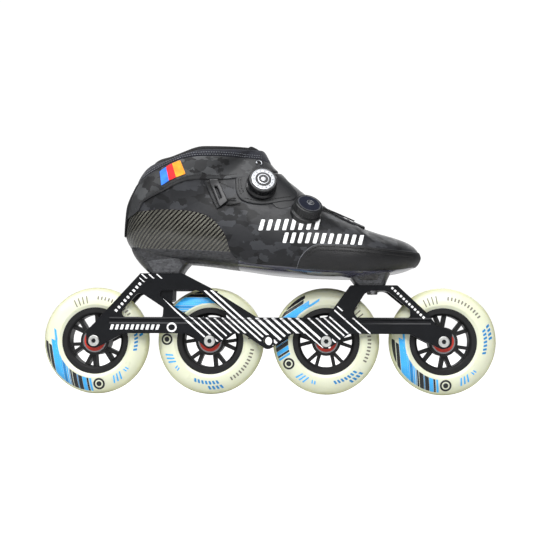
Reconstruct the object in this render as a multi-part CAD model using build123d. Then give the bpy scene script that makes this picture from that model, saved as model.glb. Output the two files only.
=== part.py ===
from build123d import *
import math
import os

# An inline speed skate for the right foot: a low carbon boot with two lace dials, bolted to a two-plate
# aluminium frame that carries four wheels in a line.
# Millimetres. +X points to the toe, +Z up, -Y is the outer side of the foot.
# The origin lies on the ground, midway between the four axles.

# ---------------------------------------------------------------- driving dimensions
WHEEL_R = 50.0
WHEELBASE = 325.12
WHEEL_PITCH = WHEELBASE / 3
AXLE_Z = WHEEL_R
AXLE_X = [-1.5 * WHEEL_PITCH, -0.5 * WHEEL_PITCH, 0.5 * WHEEL_PITCH, 1.5 * WHEEL_PITCH]
WHEEL_NAMES = ["rear", "mid_rear", "mid_front", "front"]
SPOKE_PHASE = [19.0, -8.0, -2.0, 35.5]

TYRE_HALF = 12.0
HUB_RIM_R = 31.2
HUB_RIM_HALF = 10.5
HUB_RIM_INNER_R = 24.3
HUB_BOSS_R = 13.5
HUB_BOSS_HALF = 11.7

BEARING_BORE_R = 4.0
BEARING_R = 11.0
BEARING_WIDTH = 7.0
SPACER_LENGTH = 10.3
BALL_COUNT = 7
BALL_R = 1.95
BALL_PITCH_R = 7.5

PLATE_IN = 13.8
LEG_OUT = 17.2
RAIL_OUT = 18.2
RAIL_LOW = 57.0
RAIL_TOP = 72.0
REAR_PLATFORM_Z = 113.0
FRONT_PLATFORM_Z = 102.2
PLATFORM_THICK = 5.2
MOUNT_SPACING = 195.0
REAR_BOLT_X = -MOUNT_SPACING / 2
FRONT_BOLT_X = MOUNT_SPACING / 2
BOLT_R = 3.0
WASHER_THICK = 0.8

OUTER_LAYER = 1.8
SHELL_LAYER = 3.6
PADDING_LAYER = 8.0
OVERLAY = 1.8
RIBBON_OVERLAY = 2.6
HOOK_OVERLAY = 4.4

os.makedirs("parts", exist_ok=True)


def save(name, *solids):
    """Write one node, a single solid or a group of separate ones, to its own STEP file."""
    shape = solids[0] if len(solids) == 1 else Compound(children=list(solids))
    shape.label = name
    export_step(shape, f"parts/{name}.step")


def turned(profile_points):
    """A ring turned about the Y axis from a closed outline of (radius, y) points."""
    face = make_face(Polyline(*profile_points, close=True))
    return revolve(face, Axis.Y)


def rod(radius, y_low, y_high, x=0.0, z=0.0):
    """A round bar along Y."""
    bar = Cylinder(radius, y_high - y_low, rotation=(90, 0, 0))
    return Pos(x, (y_low + y_high) / 2, z) * bar


def slab(outline, y_low, y_high):
    """A flat outline of (x, z) points, extruded along Y from y_low to y_high."""
    face = make_face(Plane.XZ * Polyline(*outline, close=True))
    return Pos(0, y_low, 0) * extrude(face, y_high - y_low, dir=(0, 1, 0))


def rounded_slab(corners, y_low, y_high):
    """As slab, with a third number in each corner for its rounding radius."""
    points = [(x, z) for x, z, _ in corners]
    radii = [radius for _, _, radius in corners]
    face = make_face(Plane.XZ * FilletPolyline(*points, radius=radii, close=True))
    return Pos(0, y_low, 0) * extrude(face, y_high - y_low, dir=(0, 1, 0))


# ---------------------------------------------------------------- wheels
def make_tyre():
    """Urethane tyre with an elliptical tread and a groove that locks on the hub's rib."""
    crown = EllipticalCenterArc((34, 0), WHEEL_R - 34, TYRE_HALF, start_angle=-90, arc_size=180)
    inner = Polyline(
        (34, TYRE_HALF),
        (HUB_RIM_R, HUB_RIM_HALF),
        (HUB_RIM_R, 3),
        (33, 2),
        (33, -2),
        (HUB_RIM_R, -3),
        (HUB_RIM_R, -HUB_RIM_HALF),
        (34, -TYRE_HALF),
    )
    return revolve(make_face([crown, inner]), Axis.Y)


def make_hub(phase):
    """Hub with a ribbed rim, a bearing boss and six pairs of spokes."""
    rim = turned(
        [
            (HUB_RIM_INNER_R, -8.6),
            (26.4, -HUB_RIM_HALF),
            (HUB_RIM_R, -HUB_RIM_HALF),
            (HUB_RIM_R, -3),
            (33, -2),
            (33, 2),
            (HUB_RIM_R, 3),
            (HUB_RIM_R, HUB_RIM_HALF),
            (26.4, HUB_RIM_HALF),
            (HUB_RIM_INNER_R, 8.6),
        ]
    )
    seat = SPACER_LENGTH / 2
    boss = turned(
        [
            (9.4, -seat),
            (BEARING_R, -seat),
            (BEARING_R, -HUB_BOSS_HALF),
            (12.8, -HUB_BOSS_HALF),
            (HUB_BOSS_R, -HUB_BOSS_HALF + 0.7),
            (HUB_BOSS_R, HUB_BOSS_HALF - 0.7),
            (12.8, HUB_BOSS_HALF),
            (BEARING_R, HUB_BOSS_HALF),
            (BEARING_R, seat),
            (9.4, seat),
        ]
    )
    pair = slab([(12.4, -2.6), (25.6, -6.5), (25.6, 6.5), (12.4, 2.6)], -7.0, 7.0)
    gap = slab([(15.6, 0), (27.0, -3.5), (27.0, 3.5)], -8.0, 8.0)
    pair = pair - gap
    hub = rim + boss
    for k in range(6):
        hub = hub + Rot(0, -(phase + 60 * k), 0) * pair
    return hub


def make_bearing(side):
    """One 608 bearing, as separate rings, balls, cage and shields. side is -1 or +1 along Y."""
    middle = side * (SPACER_LENGTH + BEARING_WIDTH) / 2
    half = BEARING_WIDTH / 2
    groove = Torus(BALL_PITCH_R, BALL_R + 0.15, rotation=(90, 0, 0))
    outer = turned(
        [
            (9.0, -half + 0.7),
            (9.8, -half + 0.7),
            (9.8, -half),
            (BEARING_R, -half),
            (BEARING_R, half),
            (9.8, half),
            (9.8, half - 0.7),
            (9.0, half - 0.7),
        ]
    )
    inner = turned([(BEARING_BORE_R, -half), (6.0, -half), (6.0, half), (BEARING_BORE_R, half)])
    cage = turned([(7.1, -2.7), (7.9, -2.7), (7.9, 2.7), (7.1, 2.7)])
    balls = []
    for k in range(BALL_COUNT):
        angle = math.radians(360 * k / BALL_COUNT)
        spot = Pos(BALL_PITCH_R * math.cos(angle), 0, BALL_PITCH_R * math.sin(angle))
        balls.append(spot * Sphere(BALL_R))
        cage = cage - spot * Sphere(BALL_R + 0.12)
    shields = []
    for end in (-1, 1):
        face = end * (half - 0.35)
        low, high = face - 0.3, face + 0.3
        shields.append(turned([(6.3, low), (9.8, low), (9.8, high), (6.3, high)]))
    move = Pos(0, middle, 0)
    return {
        "outer": [move * (outer - groove)],
        "inner": [move * (inner - groove)],
        "rolling": [move * piece for piece in [cage, *balls]],
        "shields": [move * shield for shield in shields],
    }


def make_axle():
    """One-sided wheel axle: a button head with a hex socket, a shank and a threaded end."""
    head = rod(5.1, -RAIL_OUT - 0.7, -RAIL_OUT + 2.5)
    head = chamfer(head.edges().sort_by(Axis.Y)[0], 0.6)
    shank = rod(3.96, -RAIL_OUT + 2.5, RAIL_OUT - 0.5)
    socket_face = Plane.XZ * RegularPolygon(2.31, 6)
    socket = Pos(0, -RAIL_OUT - 2.0, 0) * extrude(socket_face, 4.0, dir=(0, 1, 0))
    return head + shank - socket


# ---------------------------------------------------------------- frame
def frame_outline():
    """Outer outline of one side plate, clockwise from the rear platform, as (x, z, rounding)."""
    rear, mid_rear, mid_front, front = AXLE_X
    low = RAIL_LOW
    return [
        (-121.6, 110.6, 1.0),
        (-119.5, REAR_PLATFORM_Z, 1.5),
        (-80.5, REAR_PLATFORM_Z, 6.0),
        (-54.0, 99.4, 8.0),
        (-9.9, RAIL_TOP, 8.0),
        (54.5, RAIL_TOP, 6.0),
        (76.6, FRONT_PLATFORM_Z, 2.5),
        (119.9, FRONT_PLATFORM_Z, 2.0),
        (149.0, 75.0, 4.0),
        (155.5, 65.5, 3.0),
        (front + 7.5, 59.5, 4.0),
        (front + 7.0, 45.5, 5.0),
        (front - 1.5, 42.8, 6.0),
        (131.0, low, 6.0),
        (mid_front + 21.0, low, 6.0),
        (mid_front + 2.0, 43.0, 5.0),
        (mid_front - 2.0, 43.0, 5.0),
        (mid_front - 24.0, low, 6.0),
        (23.0, low, 6.0),
        (1.5, 42.6, 4.4),
        (-1.5, 42.6, 4.4),
        (-23.0, low, 6.0),
        (mid_rear + 21.0, low, 6.0),
        (mid_rear + 2.0, 43.0, 5.0),
        (mid_rear - 2.0, 43.0, 5.0),
        (mid_rear - 19.0, low, 6.0),
        (-134.5, low, 6.0),
        (rear + 1.5, 42.8, 6.0),
        (rear - 7.0, 45.5, 5.0),
        (rear - 7.0, 58.5, 3.0),
    ]


FRAME_WINDOWS = [
    [
        (-120.5, 96.0, 6.0),
        (-138.0, 76.4, 4.0),
        (-134.5, 72.2, 2.0),
        (-98.2, 72.2, 1.5),
        (-97.6, 81.0, 2.0),
    ],
    [
        (-100.8, 97.2, 3.5),
        (-65.0, 97.2, 9.0),
        (-40.6, 79.0, 4.5),
        (-38.6, 72.2, 1.5),
        (-72.8, 72.2, 2.5),
        (-101.0, 91.5, 3.0),
    ],
    [
        (91.5, 97.0, 9.0),
        (79.0, 77.4, 4.5),
        (82.6, 72.2, 2.0),
        (132.0, 72.2, 2.5),
        (131.6, 79.6, 3.5),
        (110.5, 97.0, 9.0),
    ],
]


REAR_BRIDGE = [
    (-119.0, 112.9), (-80.0, 112.9), (-80.0, 107.8), (-87.0, 106.5), (-89.0, 101.0), (-89.4, 88.0),
    (-91.0, 86.6), (-106.2, 86.6), (-107.5, 104.0), (-115.0, 107.0), (-124.5, 95.0), (-127.5, 97.4),
    (-121.0, 108.5),
]
FRONT_BRIDGE = [(78.0, 102.1), (119.4, 102.1), (131.5, 90.6), (128.8, 87.8), (116.5, 97.0), (78.0, 97.0)]


def make_plate():
    """The outer-side plate: legs, rail with a bead and a groove along its top, and axle ears."""
    corners = frame_outline()
    plate = rounded_slab(corners, -LEG_OUT, -PLATE_IN)
    for window in FRAME_WINDOWS:
        plate = plate - rounded_slab(window, -LEG_OUT - 1, -PLATE_IN + 1)
    thick = rounded_slab(corners, -RAIL_OUT, -LEG_OUT)
    thick = thick - Pos(0, -LEG_OUT, 66.0 + 60) * Box(500, 10, 120)
    plate = plate + thick
    lip = RAIL_OUT - 0.2
    bead_profile = [
        (-PLATE_IN - 1, 66.0),
        (-RAIL_OUT, 66.0),
        (-LEG_OUT, 67.4),
        (-LEG_OUT, 69.4),
        (-lip, 70.0),
        (-lip, 71.0),
        (-LEG_OUT, RAIL_TOP),
        (-PLATE_IN - 1, RAIL_TOP),
    ]
    bead_face = make_face(Plane.YZ * Polyline(*bead_profile, close=True))
    bead = Pos(-148.0, 0, 0) * extrude(bead_face, 148.0 + 150.5, dir=(1, 0, 0))
    return plate + bead


def make_frame():
    """Both plates, the two bridges that carry the boot, and the inner bosses at the axle holes."""
    plate = make_plate()
    frame = plate + mirror(plate, Plane.XZ)
    overlap = PLATE_IN + 0.5
    for bridge in (REAR_BRIDGE, FRONT_BRIDGE):
        frame = frame + slab(bridge, -overlap, overlap)
    frame = frame - Pos(REAR_BOLT_X, 0, REAR_PLATFORM_Z - PLATFORM_THICK - 15) * Cylinder(6.9, 30)
    boss_end = SPACER_LENGTH / 2 + BEARING_WIDTH
    for x in [*AXLE_X, 0.0]:
        frame = frame + rod(5.7, -PLATE_IN - 0.5, -boss_end, x, AXLE_Z)
        frame = frame + rod(5.7, boss_end, PLATE_IN + 0.5, x, AXLE_Z)
    for x in [*AXLE_X, 0.0]:
        frame = frame - rod(4.0, -40, 40, x, AXLE_Z)
    for x in AXLE_X:
        frame = frame - rod(5.2, -RAIL_OUT - 5, -RAIL_OUT + 2.5, x, AXLE_Z)
    for x, top in ((REAR_BOLT_X, REAR_PLATFORM_Z), (FRONT_BOLT_X, FRONT_PLATFORM_Z)):
        slot = extrude(SlotOverall(14.0, 2 * BOLT_R + 0.6, rotation=90), 20.0, dir=(0, 0, 1))
        frame = frame - Pos(x, 0, top - 10) * slot
    return frame


# ---------------------------------------------------------------- boot
# Stations of the boot from the toe round the heel to above the collar. Each is a closed curve in a plane
# that holds the Y direction: low point (x, z), high point (x, z), half width, middle y, height of the widest
# place as a share, squareness of the low half and of the high half (0.55 is round), and how much of an
# inset shortens the boot at the toe.
BOOT_STATIONS = [
    ((142.0, 125.5), (142.0, 132.5), 8.0, 11.0, 0.50, 0.60, 0.55, 1.0),
    ((139.5, 121.8), (139.5, 136.6), 15.5, 10.5, 0.50, 0.62, 0.55, 0.9),
    ((132.0, 117.2), (132.0, 142.5), 25.5, 9.5, 0.48, 0.70, 0.55, 0.6),
    ((120.0, 113.8), (120.0, 147.0), 35.0, 7.5, 0.45, 0.76, 0.55, 0.3),
    ((100.0, 110.8), (100.0, 152.6), 43.0, 4.0, 0.40, 0.76, 0.55, 0.0),
    ((75.0, 108.2), (75.0, 163.0), 47.0, 1.0, 0.35, 0.74, 0.52, 0.0),
    ((45.0, 108.8), (48.0, 178.0), 46.5, -1.5, 0.32, 0.74, 0.50, 0.0),
    ((10.0, 111.2), (24.0, 196.6), 42.0, -2.0, 0.30, 0.74, 0.50, 0.0),
    ((-28.0, 116.4), (4.0, 213.0), 37.5, -1.0, 0.30, 0.74, 0.52, 0.0),
    ((-70.0, 121.5), (-4.5, 226.0), 35.5, 0.0, 0.32, 0.74, 0.55, 0.0),
    ((-97.0, 122.8), (-6.4, 229.3), 34.4, 0.0, 0.34, 0.72, 0.55, 0.0),
    ((-117.5, 125.0), (-7.6, 231.3), 34.0, 0.0, 0.36, 0.70, 0.55, 0.0),
    ((-129.5, 135.5), (-8.0, 232.0), 34.3, 0.0, 0.38, 0.65, 0.55, 0.0),
    ((-135.5, 149.0), (-8.2, 232.6), 35.0, 0.0, 0.40, 0.60, 0.55, 0.0),
    ((-134.0, 173.0), (-8.1, 233.8), 36.5, 0.0, 0.45, 0.56, 0.55, 0.0),
    ((-123.5, 199.0), (-7.9, 236.5), 36.0, 0.0, 0.48, 0.56, 0.55, 0.0),
    ((-109.5, 222.0), (-7.0, 243.0), 34.5, 0.0, 0.50, 0.56, 0.55, 0.0),
    ((-98.0, 240.0), (-6.0, 252.0), 34.0, 0.0, 0.50, 0.56, 0.55, 0.0),
]


def boot_section(station, inset):
    """The closed curve of one station, moved inwards by inset, or outwards where inset is negative."""
    low, high, half_width, middle_y, widest, square_low, square_high, toe_share = station
    bottom = Vector(low[0], 0, low[1])
    top = Vector(high[0], 0, high[1])
    up = (top - bottom).normalized()
    shift = Vector(-inset * toe_share, 0, 0)
    bottom = bottom + up * inset + shift
    top = top - up * inset + shift
    middle = bottom + (top - bottom) * widest
    half = half_width - inset

    def spot(sideways, rise):
        reach = top - middle if rise > 0 else middle - bottom
        return middle + reach * rise + Vector(0, middle_y + half * sideways, 0)

    quarters = []
    for side, rise in ((1, -1), (1, 1), (-1, 1), (-1, -1)):
        square = square_high if rise > 0 else square_low
        end = spot(0, rise)
        near_end = spot(side * square, rise)
        near_side = spot(side, rise * square)
        widest_spot = spot(side, 0)
        quarter = [end, near_end, near_side, widest_spot]
        if side * rise > 0:
            quarter = quarter[::-1]
        quarters.append(Edge.make_bezier(*quarter))
    return Wire(quarters)


def boot_body(inset):
    """The whole boot as one solid, its surface moved inwards by inset.

    A deep inset starts behind the toe tip.
    """
    sections = []
    for station in BOOT_STATIONS:
        height = math.dist(station[0], station[1])
        if height - 2 * inset > 3.0:
            sections.append(boot_section(station, inset))
    return Solid.make_loft(sections, ruled=True)


def zone(curve, *closing, y_low=-80.0, y_high=80.0):
    """The region of the side view between a smooth curve and straight closing runs, as a block across Y."""
    line = Spline(*curve)
    back = Polyline(curve[-1], *closing, curve[0])
    face = make_face(Plane.XZ * Curve(children=[line, back]))
    return Pos(0, y_low, 0) * extrude(face, y_high - y_low, dir=(0, 1, 0))


# Lines of the boot in side view, as (x, z).
CARBON_HEEL_LINE = [
    (-150, 168.0), (-121, 169.6), (-92, 171.0), (-65, 168.4), (-49, 160.5), (-39, 147.5),
]
CARBON_SOLE_LINE = [
    (-35, 135), (-30, 127), (-18, 121.8), (12, 118.6), (48, 115.6), (80, 114.8), (120, 117.0),
    (150, 124),
]
CARBON_LINE = CARBON_HEEL_LINE + CARBON_SOLE_LINE
TUCK_LINE = [
    (-150, 176), (-100, 177), (-70, 175), (-48, 167), (-36, 152), (-26, 136), (0, 129),
    (50, 126.5), (150, 127),
]
COLLAR_LINE = [
    (-140, 186), (-117.3, 200.6), (-106.6, 206.4), (-87.2, 214.3), (-75.2, 217.9), (-60, 219.4),
    (-30, 219.3), (-6, 217.6), (20, 207),
]
TOP_LINE = [
    (-130, 207), (-111, 216.5), (-94, 219.2), (-79.5, 223.6), (-70, 226.8), (-62, 228.5),
    (-50, 229), (-35, 229.6), (-20.6, 230.6), (-8.4, 232), (8, 232.5),
]
BUMPER_LINE = [
    (25.5, 110), (30.5, 125.5), (36, 132.2), (43, 136.6), (52, 137.8), (81, 136.4), (111, 134),
    (150, 132.6),
]
CUFF_LINE = [
    (-145, 160), (-122.4, 169.9), (-114.5, 179.9), (-95.1, 189.3), (-83.3, 195.2), (-70, 199.2),
    (-45, 199.8), (-19, 202.4), (-8, 205.6), (-1, 209.0),
]
PATCH_LINE = [
    (-29.6, 200.4), (-28.4, 188), (-24.5, 180.8), (-15.8, 177.2), (-3, 176.0), (12, 178.6),
    (24, 180.5), (27, 187),
]
BAND_DROP = 2.4
HOOK_CORNERS = [(-54.4, 197.6, 2.0), (-47.2, 197.9, 2.0), (-37.4, 178.6, 2.0), (-43.6, 173.8, 2.0)]
HOOK_SLOT = [(-50.6, 192.6, 1.0), (-46.8, 192.2, 1.0), (-41.6, 181.2, 1.0), (-44.4, 179.2, 1.0)]
RIBBON_CORNERS = [(-100.2, 207.2), (-81.6, 216.6), (-76.7, 203.8), (-98.3, 193.7)]
EYELET_AT = (-9.5, 214.6)


def below(line):
    return zone(line, (line[-1][0], 90), (line[0][0], 90))


def above(line):
    return zone(line, (line[-1][0], 270), (line[0][0], 270))


def block(low_z, low_x, low_half, high_z, high_x, high_half):
    """A mounting block that flares from its flat foot up into the sole.

    low_x and high_x are the ranges in x at its two heights.
    """
    faces = []
    for z, (x0, x1), half in ((low_z, low_x, low_half), (high_z, high_x, high_half)):
        outline = RectangleRounded(x1 - x0, 2 * half, 5.0)
        faces.append(Pos((x0 + x1) / 2, 0, z) * outline)
    return loft(faces)


def make_boot():
    """All the boot's fixed layers: carbon shell, upper, overlays, padding, footbed and tongue."""
    skin = boot_body(0.0)
    under_skin = boot_body(OUTER_LAYER)
    lining = boot_body(SHELL_LAYER)
    hollow = boot_body(PADDING_LAYER)
    overlay = boot_body(-OVERLAY) - skin
    outer_layer = skin - under_skin
    middle_layer = under_skin - lining

    carbon_zone = below(CARBON_LINE)
    tuck_zone = below(TUCK_LINE)
    collar_zone = above(COLLAR_LINE)
    bumper_zone = below(BUMPER_LINE)
    top_zone = above(TOP_LINE)
    band_top_zone = Pos(0, 0, -BAND_DROP) * top_zone

    heel_block = block(REAR_PLATFORM_Z, (-111.6, -80.5), 18.0, 130.0, (-127.0, -62.0), 26.0)
    toe_block = block(FRONT_PLATFORM_Z, (81.4, 109.4), 18.0, 119.0, (66.0, 117.5), 28.0)
    blocks = (heel_block + toe_block) - skin
    inserts = make_inserts()
    shell = (skin & carbon_zone) + (under_skin & tuck_zone) - lining
    shell = shell + blocks
    for insert in inserts:
        shell = shell - Pos(insert.center()) * Cylinder(5.0, 10.0)
    for x, low in ((REAR_BOLT_X, REAR_PLATFORM_Z), (FRONT_BOLT_X, FRONT_PLATFORM_Z)):
        shell = shell - Pos(x, 0, low + 6.5) * Cylinder(BOLT_R + 0.2, 13.0)

    throat = Pos(63, 0, 165) * Box(36, 13, 60)
    upper = outer_layer - carbon_zone - collar_zone - bumper_zone - throat
    bumper = (outer_layer & bumper_zone) - carbon_zone
    tongue_zone = Pos(60, 0, 190) * Box(200, 120, 160)
    pads = middle_layer - tuck_zone - collar_zone
    tongue = pads & tongue_zone
    ankle_padding = pads - tongue_zone
    collar = ((skin - lining) & collar_zone) - band_top_zone
    liner = lining - hollow - top_zone
    footbed_top = [(-140, 143), (-100, 138), (-60, 134), (-25, 131), (45, 126), (100, 124.6), (150, 128)]
    footbed = hollow & below(footbed_top)

    cuff_zone = above(CUFF_LINE) - collar_zone
    cuff = overlay & cuff_zone
    strip_zone = Pos(-130, 0, 176) * Box(60, 23, 50)
    heel_strip = (overlay & strip_zone) - above(CUFF_LINE)
    patch_zone = zone(PATCH_LINE, (12, 206), (-19, 202.4), y_high=8.0)
    patch = (overlay & patch_zone) - cuff_zone
    ribbon_layer = boot_body(-RIBBON_OVERLAY) - boot_body(-OVERLAY)
    ribbon = ribbon_layer & slab(RIBBON_CORNERS, -80, 0)
    ring = rod(3.4, -80, 0, *EYELET_AT) - rod(1.6, -80, 0, *EYELET_AT)
    eyelet = ribbon_layer & ring
    guide_layer = boot_body(-HOOK_OVERLAY) - skin
    hook = (guide_layer & rounded_slab(HOOK_CORNERS, -80, 0)) - rounded_slab(HOOK_SLOT, -81, 1)
    guide = (boot_body(-RIBBON_OVERLAY) - skin) & (Pos(85.2, -3.0, 165) * Box(8.6, 15, 40))
    return {
        "carbon_shell": shell,
        "upper": upper,
        "toe_bumper": bumper,
        "tongue": tongue,
        "ankle_padding": ankle_padding,
        "collar_band": collar,
        "padded_liner": liner,
        "footbed": footbed,
        "ankle_cuff": cuff,
        "heel_strip": heel_strip,
        "dial_patch": patch,
        "ribbon_tab": ribbon,
        "eyelet_ring": eyelet,
        "cuff_lace_hook": hook,
        "vamp_lace_guide": guide,
        "threaded_inserts": inserts,
    }


def make_inserts():
    """Threaded sleeves moulded into the two mounting blocks."""
    sleeves = []
    for x, low in ((REAR_BOLT_X, REAR_PLATFORM_Z), (FRONT_BOLT_X, FRONT_PLATFORM_Z)):
        sleeves.append(Pos(x, 0, low + 5.5) * (Cylinder(5.0, 10.0) - Cylinder(BOLT_R + 0.02, 10.0)))
    return sleeves


# ---------------------------------------------------------------- lace dials
DIALS = {
    "upper": {"at": (-6.2, -29.6, 193.2), "axis": (0.22, -0.88, 0.42), "under": -OVERLAY},
    "lower": {"at": (35.0, -35.4, 167.4), "axis": (0.30, -0.66, 0.69), "under": 0.0},
}
DIAL_BASE_R = 13.9
DIAL_BASE_TOP = 3.6
SPOOL_R = 9.9
DRIVE_R = 4.4
KNOB_R = 13.2
KNOB_LOW = 3.9
KNOB_TOP = 11.5
KNOB_CEILING = 9.7
CAP_R = 10.6
KNOB_GROOVES = 30
SCREW_R = 1.2


def disc(radius, low, high):
    """A round bar along Z between two heights."""
    return Pos(0, 0, (low + high) / 2) * Cylinder(radius, high - low)


def make_dial(at, axis, under):
    """One lace dial: a base, a spool on a centre screw, and a knob with a face cap.

    The knob pulls out along the axis to free the spool.
    """
    place = Plane(origin=at, z_dir=axis).location
    base = disc(DIAL_BASE_R, -9.0, DIAL_BASE_TOP)
    base = chamfer(base.edges().sort_by(Axis.Z)[-1], 0.8)
    base = base - disc(SPOOL_R + 0.3, 1.0, DIAL_BASE_TOP + 1)
    for port in (-5.0, 5.0):
        base = base - Pos(-12.5, port, 2.2) * Cylinder(0.8, 8.0, rotation=(0, 90, 0))
    base = place * base - boot_body(under)
    spool = disc(SPOOL_R, 1.3, 3.4) - (disc(SPOOL_R + 1, 1.9, 2.9) - disc(SPOOL_R - 2.4, 1.9, 2.9))
    spool = spool + disc(DRIVE_R, 3.4, 6.0) - disc(SCREW_R + 0.05, 0, 8)
    screw = disc(SCREW_R, 1.0, 6.3) + disc(2.6, 6.3, 7.3)
    knob = disc(KNOB_R, KNOB_LOW, KNOB_TOP)
    knob = fillet(knob.edges().sort_by(Axis.Z)[-1], 1.2)
    hub = disc(6.2, 4.2, KNOB_CEILING) - disc(DRIVE_R + 0.05, 4.2, KNOB_CEILING)
    knob = knob - disc(11.6, KNOB_LOW, KNOB_CEILING) + hub
    knob = knob - disc(CAP_R, KNOB_TOP - 0.8, KNOB_TOP + 1)
    for k in range(KNOB_GROOVES):
        angle = 2 * math.pi * k / KNOB_GROOVES
        spot = Pos((KNOB_R + 0.3) * math.cos(angle), (KNOB_R + 0.3) * math.sin(angle), 6.9)
        knob = knob - spot * Cylinder(0.8, 6.2)
    cap = disc(CAP_R, KNOB_TOP - 0.8, KNOB_TOP + 0.4)
    cap = chamfer(cap.edges().sort_by(Axis.Z)[-1], 0.3)
    return {
        "base": base,
        "spool": place * spool,
        "screw": place * screw,
        "knob": place * knob,
        "cap": place * cap,
    }


# ---------------------------------------------------------------- laces and fasteners
LACE_R = 0.6
UPPER_LACE_RUNS = [
    [(-28.9, -35.9, 181.0), (-33.5, -35.4, 180.8), (-37.7, -35.0, 180.3)],
    [(-24.6, -36.4, 176.9), (-31.0, -35.8, 175.4), (-38.0, -35.2, 175.6)],
]
LOWER_LACE_RUNS = [
    [(46.1, -27.8, 172.5), (59.0, -10.0, 172.2), (80.6, -5.6, 163.0)],
    [(47.2, -23.6, 174.6), (60.0, -4.6, 172.9), (80.6, -1.4, 163.1)],
]


def make_lace(points):
    """A thin lace along straight runs joined by one tangent arc, as large as the shorter run allows."""
    first, corner, last = (Vector(*point) for point in points)
    incoming = corner - first
    outgoing = last - corner
    turn = math.radians(incoming.get_angle(outgoing))
    radius = 0.45 * min(incoming.length, outgoing.length) / math.tan(turn / 2)
    path = FilletPolyline(first, corner, last, radius=radius)
    circle = Plane(origin=first, z_dir=incoming) * Circle(LACE_R)
    return sweep(circle, path=path)


def make_mounting_bolts():
    """Two socket-head bolts that come up through the platforms into the inserts, and their washers."""
    bolts = []
    washers = []
    for x, top in ((REAR_BOLT_X, REAR_PLATFORM_Z), (FRONT_BOLT_X, FRONT_PLATFORM_Z)):
        seat = top - PLATFORM_THICK
        head = disc(5.0, seat - WASHER_THICK - 2.4, seat - WASHER_THICK)
        head = chamfer(head.edges().sort_by(Axis.Z)[0], 0.7)
        head = head - Pos(0, 0, seat - 6.0) * extrude(RegularPolygon(2.31, 6), 4.6, dir=(0, 0, 1))
        bolt = head + disc(BOLT_R, seat - WASHER_THICK, top + 10.0)
        bolts.append(Pos(x, 0, 0) * bolt)
        washer = disc(6.5, seat - WASHER_THICK, seat) - disc(BOLT_R + 0.2, seat - 2, seat + 1)
        washers.append(Pos(x, 0, 0) * washer)
    return bolts, washers


BEARING_NODES = {"outer_rings": "outer", "shields": "shields", "balls_and_cages": "rolling"}


def main():
    """Make every piece and write it to parts/."""
    rings = []
    spacers = []
    axles = []
    for name, x, phase in zip(WHEEL_NAMES, AXLE_X, SPOKE_PHASE):
        place = Pos(x, 0, AXLE_Z)
        sides = [make_bearing(-1), make_bearing(1)]
        save(f"{name}_wheel_tyre", place * make_tyre())
        save(f"{name}_wheel_hub", place * make_hub(phase))
        for node, part in BEARING_NODES.items():
            pieces = [place * piece for side in sides for piece in side[part]]
            save(f"{name}_bearing_{node}", *pieces)
        rings += [place * piece for side in sides for piece in side["inner"]]
        half = SPACER_LENGTH / 2
        spacers.append(place * turned([(4.0, -half), (6.0, -half), (6.0, half), (4.0, half)]))
        axles.append(place * make_axle())
    save("bearing_inner_rings", *rings)
    save("bearing_spacers", *spacers)
    save("wheel_axles", *axles)

    save("frame", make_frame())
    bolts, washers = make_mounting_bolts()
    save("mounting_bolts", *bolts)
    save("mounting_washers", *washers)

    for name, shape in make_boot().items():
        save(name, *(shape if isinstance(shape, list) else [shape]))
    for name, facts in DIALS.items():
        for piece, shape in make_dial(facts["at"], facts["axis"], facts["under"]).items():
            save(f"{name}_dial_{piece}", shape)
    save("upper_lace", *[make_lace(run) for run in UPPER_LACE_RUNS])
    save("lower_lace", *[make_lace(run) for run in LOWER_LACE_RUNS])


if __name__ == "__main__":
    main()
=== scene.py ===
import math
import random

import bmesh
import bpy
import numpy as np
from mathutils import Matrix, Vector


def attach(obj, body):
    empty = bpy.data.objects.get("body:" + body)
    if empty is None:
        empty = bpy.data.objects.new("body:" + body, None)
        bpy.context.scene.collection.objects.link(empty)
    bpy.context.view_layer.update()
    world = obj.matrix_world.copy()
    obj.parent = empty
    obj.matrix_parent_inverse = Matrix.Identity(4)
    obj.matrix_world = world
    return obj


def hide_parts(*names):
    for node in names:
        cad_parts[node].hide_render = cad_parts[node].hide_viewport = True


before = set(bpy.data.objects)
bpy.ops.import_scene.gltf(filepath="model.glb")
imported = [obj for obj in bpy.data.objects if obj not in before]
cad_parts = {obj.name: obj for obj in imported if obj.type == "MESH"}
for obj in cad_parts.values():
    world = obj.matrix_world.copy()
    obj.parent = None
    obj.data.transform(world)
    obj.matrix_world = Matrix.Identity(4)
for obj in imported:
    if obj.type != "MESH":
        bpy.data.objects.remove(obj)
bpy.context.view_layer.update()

# An inline speed skate for the right foot, standing on its wheels. +X points to the toe, -Y is the foot's
# outer side. Sizes are in millimetres here and are turned into metres where meshes are made.
MM = 0.001
WHEEL_NAMES = ["rear", "mid_rear", "mid_front", "front"]
WHEEL_R = 50.0
AXLE_Z = WHEEL_R
WHEEL_PITCH = 325.12 / 3
AXLE_X = [-1.5 * WHEEL_PITCH, -0.5 * WHEEL_PITCH, 0.5 * WHEEL_PITCH, 1.5 * WHEEL_PITCH]
TYRE_HALF = 12.0
TYRE_CROWN_R = 34.0
LEG_OUT = 17.2
RAIL_OUT = 18.2
RAIL_LOW = 57.0
RAIL_TOP = 72.0
random.seed(7)


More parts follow.
